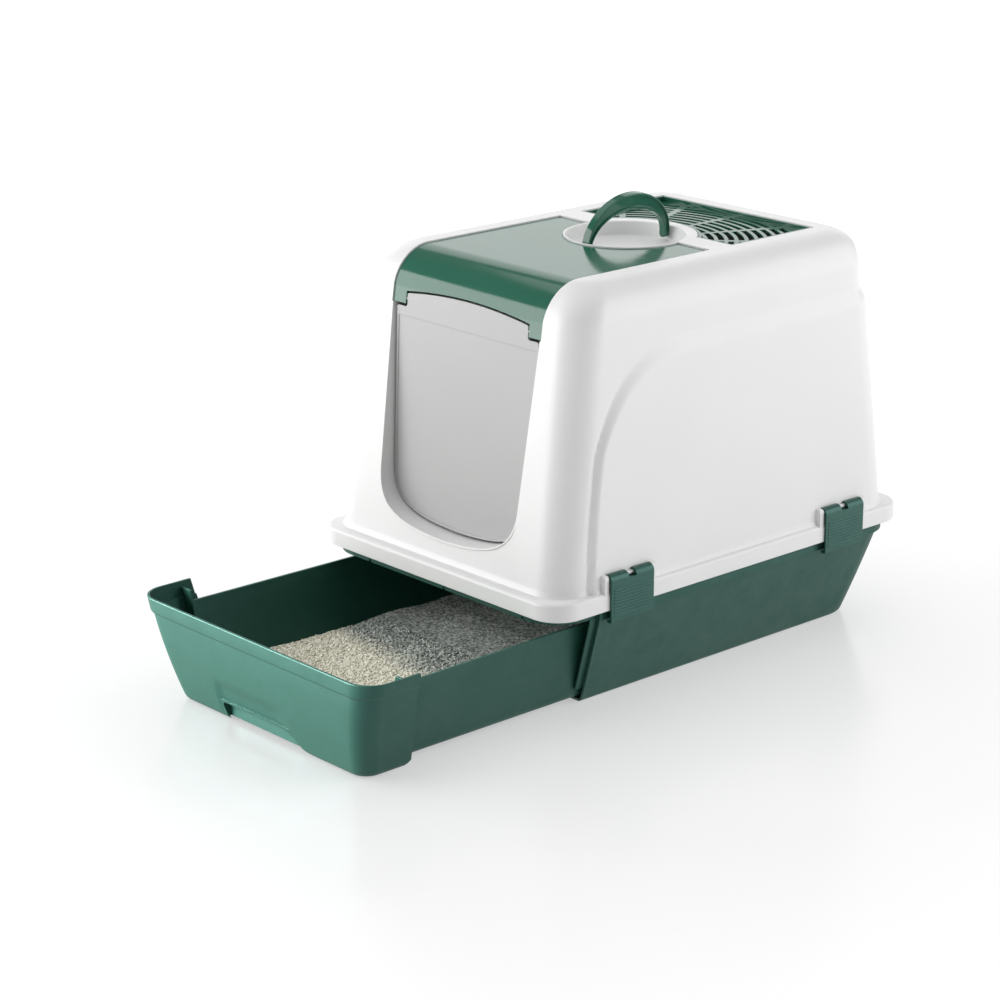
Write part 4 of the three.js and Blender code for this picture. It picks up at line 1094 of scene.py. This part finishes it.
def make_floor():
    """A pale glossy floor that turns fully white away from the object."""
    mesh = bpy.data.meshes.new("floor")
    mesh.from_pydata([(-14, -14, 0), (14, -14, 0), (14, 14, 0), (-14, 14, 0)], [], [(0, 1, 2, 3)])
    floor = bpy.data.objects.new("floor", mesh)
    bpy.context.scene.collection.objects.link(floor)
    n = Nodes("floor_white")
    n.join(n.ranged(n.noise(3, 3), 0.2, 0.26), n.shader.inputs["Roughness"])
    away = n.add("ShaderNodeVectorMath")
    away.operation = "LENGTH"
    n.join(n.place, away.inputs[0])
    n.join(n.ranged(away.outputs["Value"], 0.46, 1.0, 0.6, 2.6), n.shader.inputs["Emission Strength"])
    n.set(Base_Color=(0.5, 0.5, 0.5, 1), IOR=1.45, Specular_IOR_Level=0.2, Emission_Color=(1, 1, 1, 1))
    mesh.materials.append(n.material)


def area_light(name, place, aim, width, height, radiance):
    """A soft rectangular light of a stated brightness, so that its size can change freely."""
    data = bpy.data.lights.new(name, "AREA")
    data.shape = "RECTANGLE"
    data.size = width
    data.size_y = height
    data.energy = radiance * math.pi * width * height
    light = bpy.data.objects.new(name, data)
    light.location = place
    light.rotation_euler = (Vector(aim) - Vector(place)).to_track_quat("-Z", "Y").to_euler()
    bpy.context.scene.collection.objects.link(light)
    return light


def light_only(light, pieces):
    """Keeps a fill light to some of the pieces."""
    lit = bpy.data.collections.new(f"{light.name}_lit")
    for piece in pieces:
        lit.objects.link(piece)
    light.light_linking.receiver_collection = lit


def make_world(brightness):
    """A dim even light all round, with a white backdrop beyond the floor's edge."""
    world = bpy.data.worlds.new("studio")
    world.use_nodes = True
    tree = world.node_tree
    background = tree.nodes["Background"]
    background.inputs["Color"].default_value = (1, 1, 1, 1)
    seen = tree.nodes.new("ShaderNodeLightPath").outputs["Is Camera Ray"]
    strength = tree.nodes.new("ShaderNodeMapRange")
    strength.inputs["To Min"].default_value = brightness
    strength.inputs["To Max"].default_value = 1.0
    tree.links.new(seen, strength.inputs["Value"])
    tree.links.new(strength.outputs["Result"], background.inputs["Strength"])
    bpy.context.scene.world = world


def make_camera():
    """A long lens, 3.3 m away, from the front right and a little above."""
    data = bpy.data.cameras.new("camera")
    data.sensor_width = CAMERA_SENSOR
    data.lens = CAMERA_LENS
    camera = bpy.data.objects.new("camera", data)
    camera.location = CAMERA_PLACE
    camera.rotation_euler = Vector(CAMERA_FORWARD).to_track_quat("-Z", "Y").to_euler()
    bpy.context.scene.collection.objects.link(camera)
    bpy.context.scene.camera = camera


make_floor()
make_world(0.23)
area_light("top_box", (-0.3, -0.3, 2.6), (0, -0.2, 0.2), 3.0, 3.0, 1.0)
area_light("rear_panel", (-2.1, 1.9, 1.45), (0, 0, 0.45), 3.2, 1.9, 1.1)
area_light("left_panel", (-2.0, -2.1, 0.9), (0, -0.3, 0.2), 3.0, 1.8, 4.3)
area_light("right_panel", (1.9, 1.9, 1.3), (0, 0.1, 0.3), 2.6, 2.4, 2.4)
drawer_fill = area_light("drawer_fill", (-1.5, -2.2, 0.7), (0, -0.5, 0.05), 1.6, 1.0, 40.0)
light_only(drawer_fill, [litter_drawer])
litter_fill = area_light("litter_fill", (-0.3, -2.0, 1.3), (0, -0.35, 0), 1.2, 1.2, 5.0)
light_only(litter_fill, [litter_bed, litter_pellets])
make_camera()
bpy.context.scene.view_settings.view_transform = "Standard"
bpy.context.scene.view_settings.look = "None"
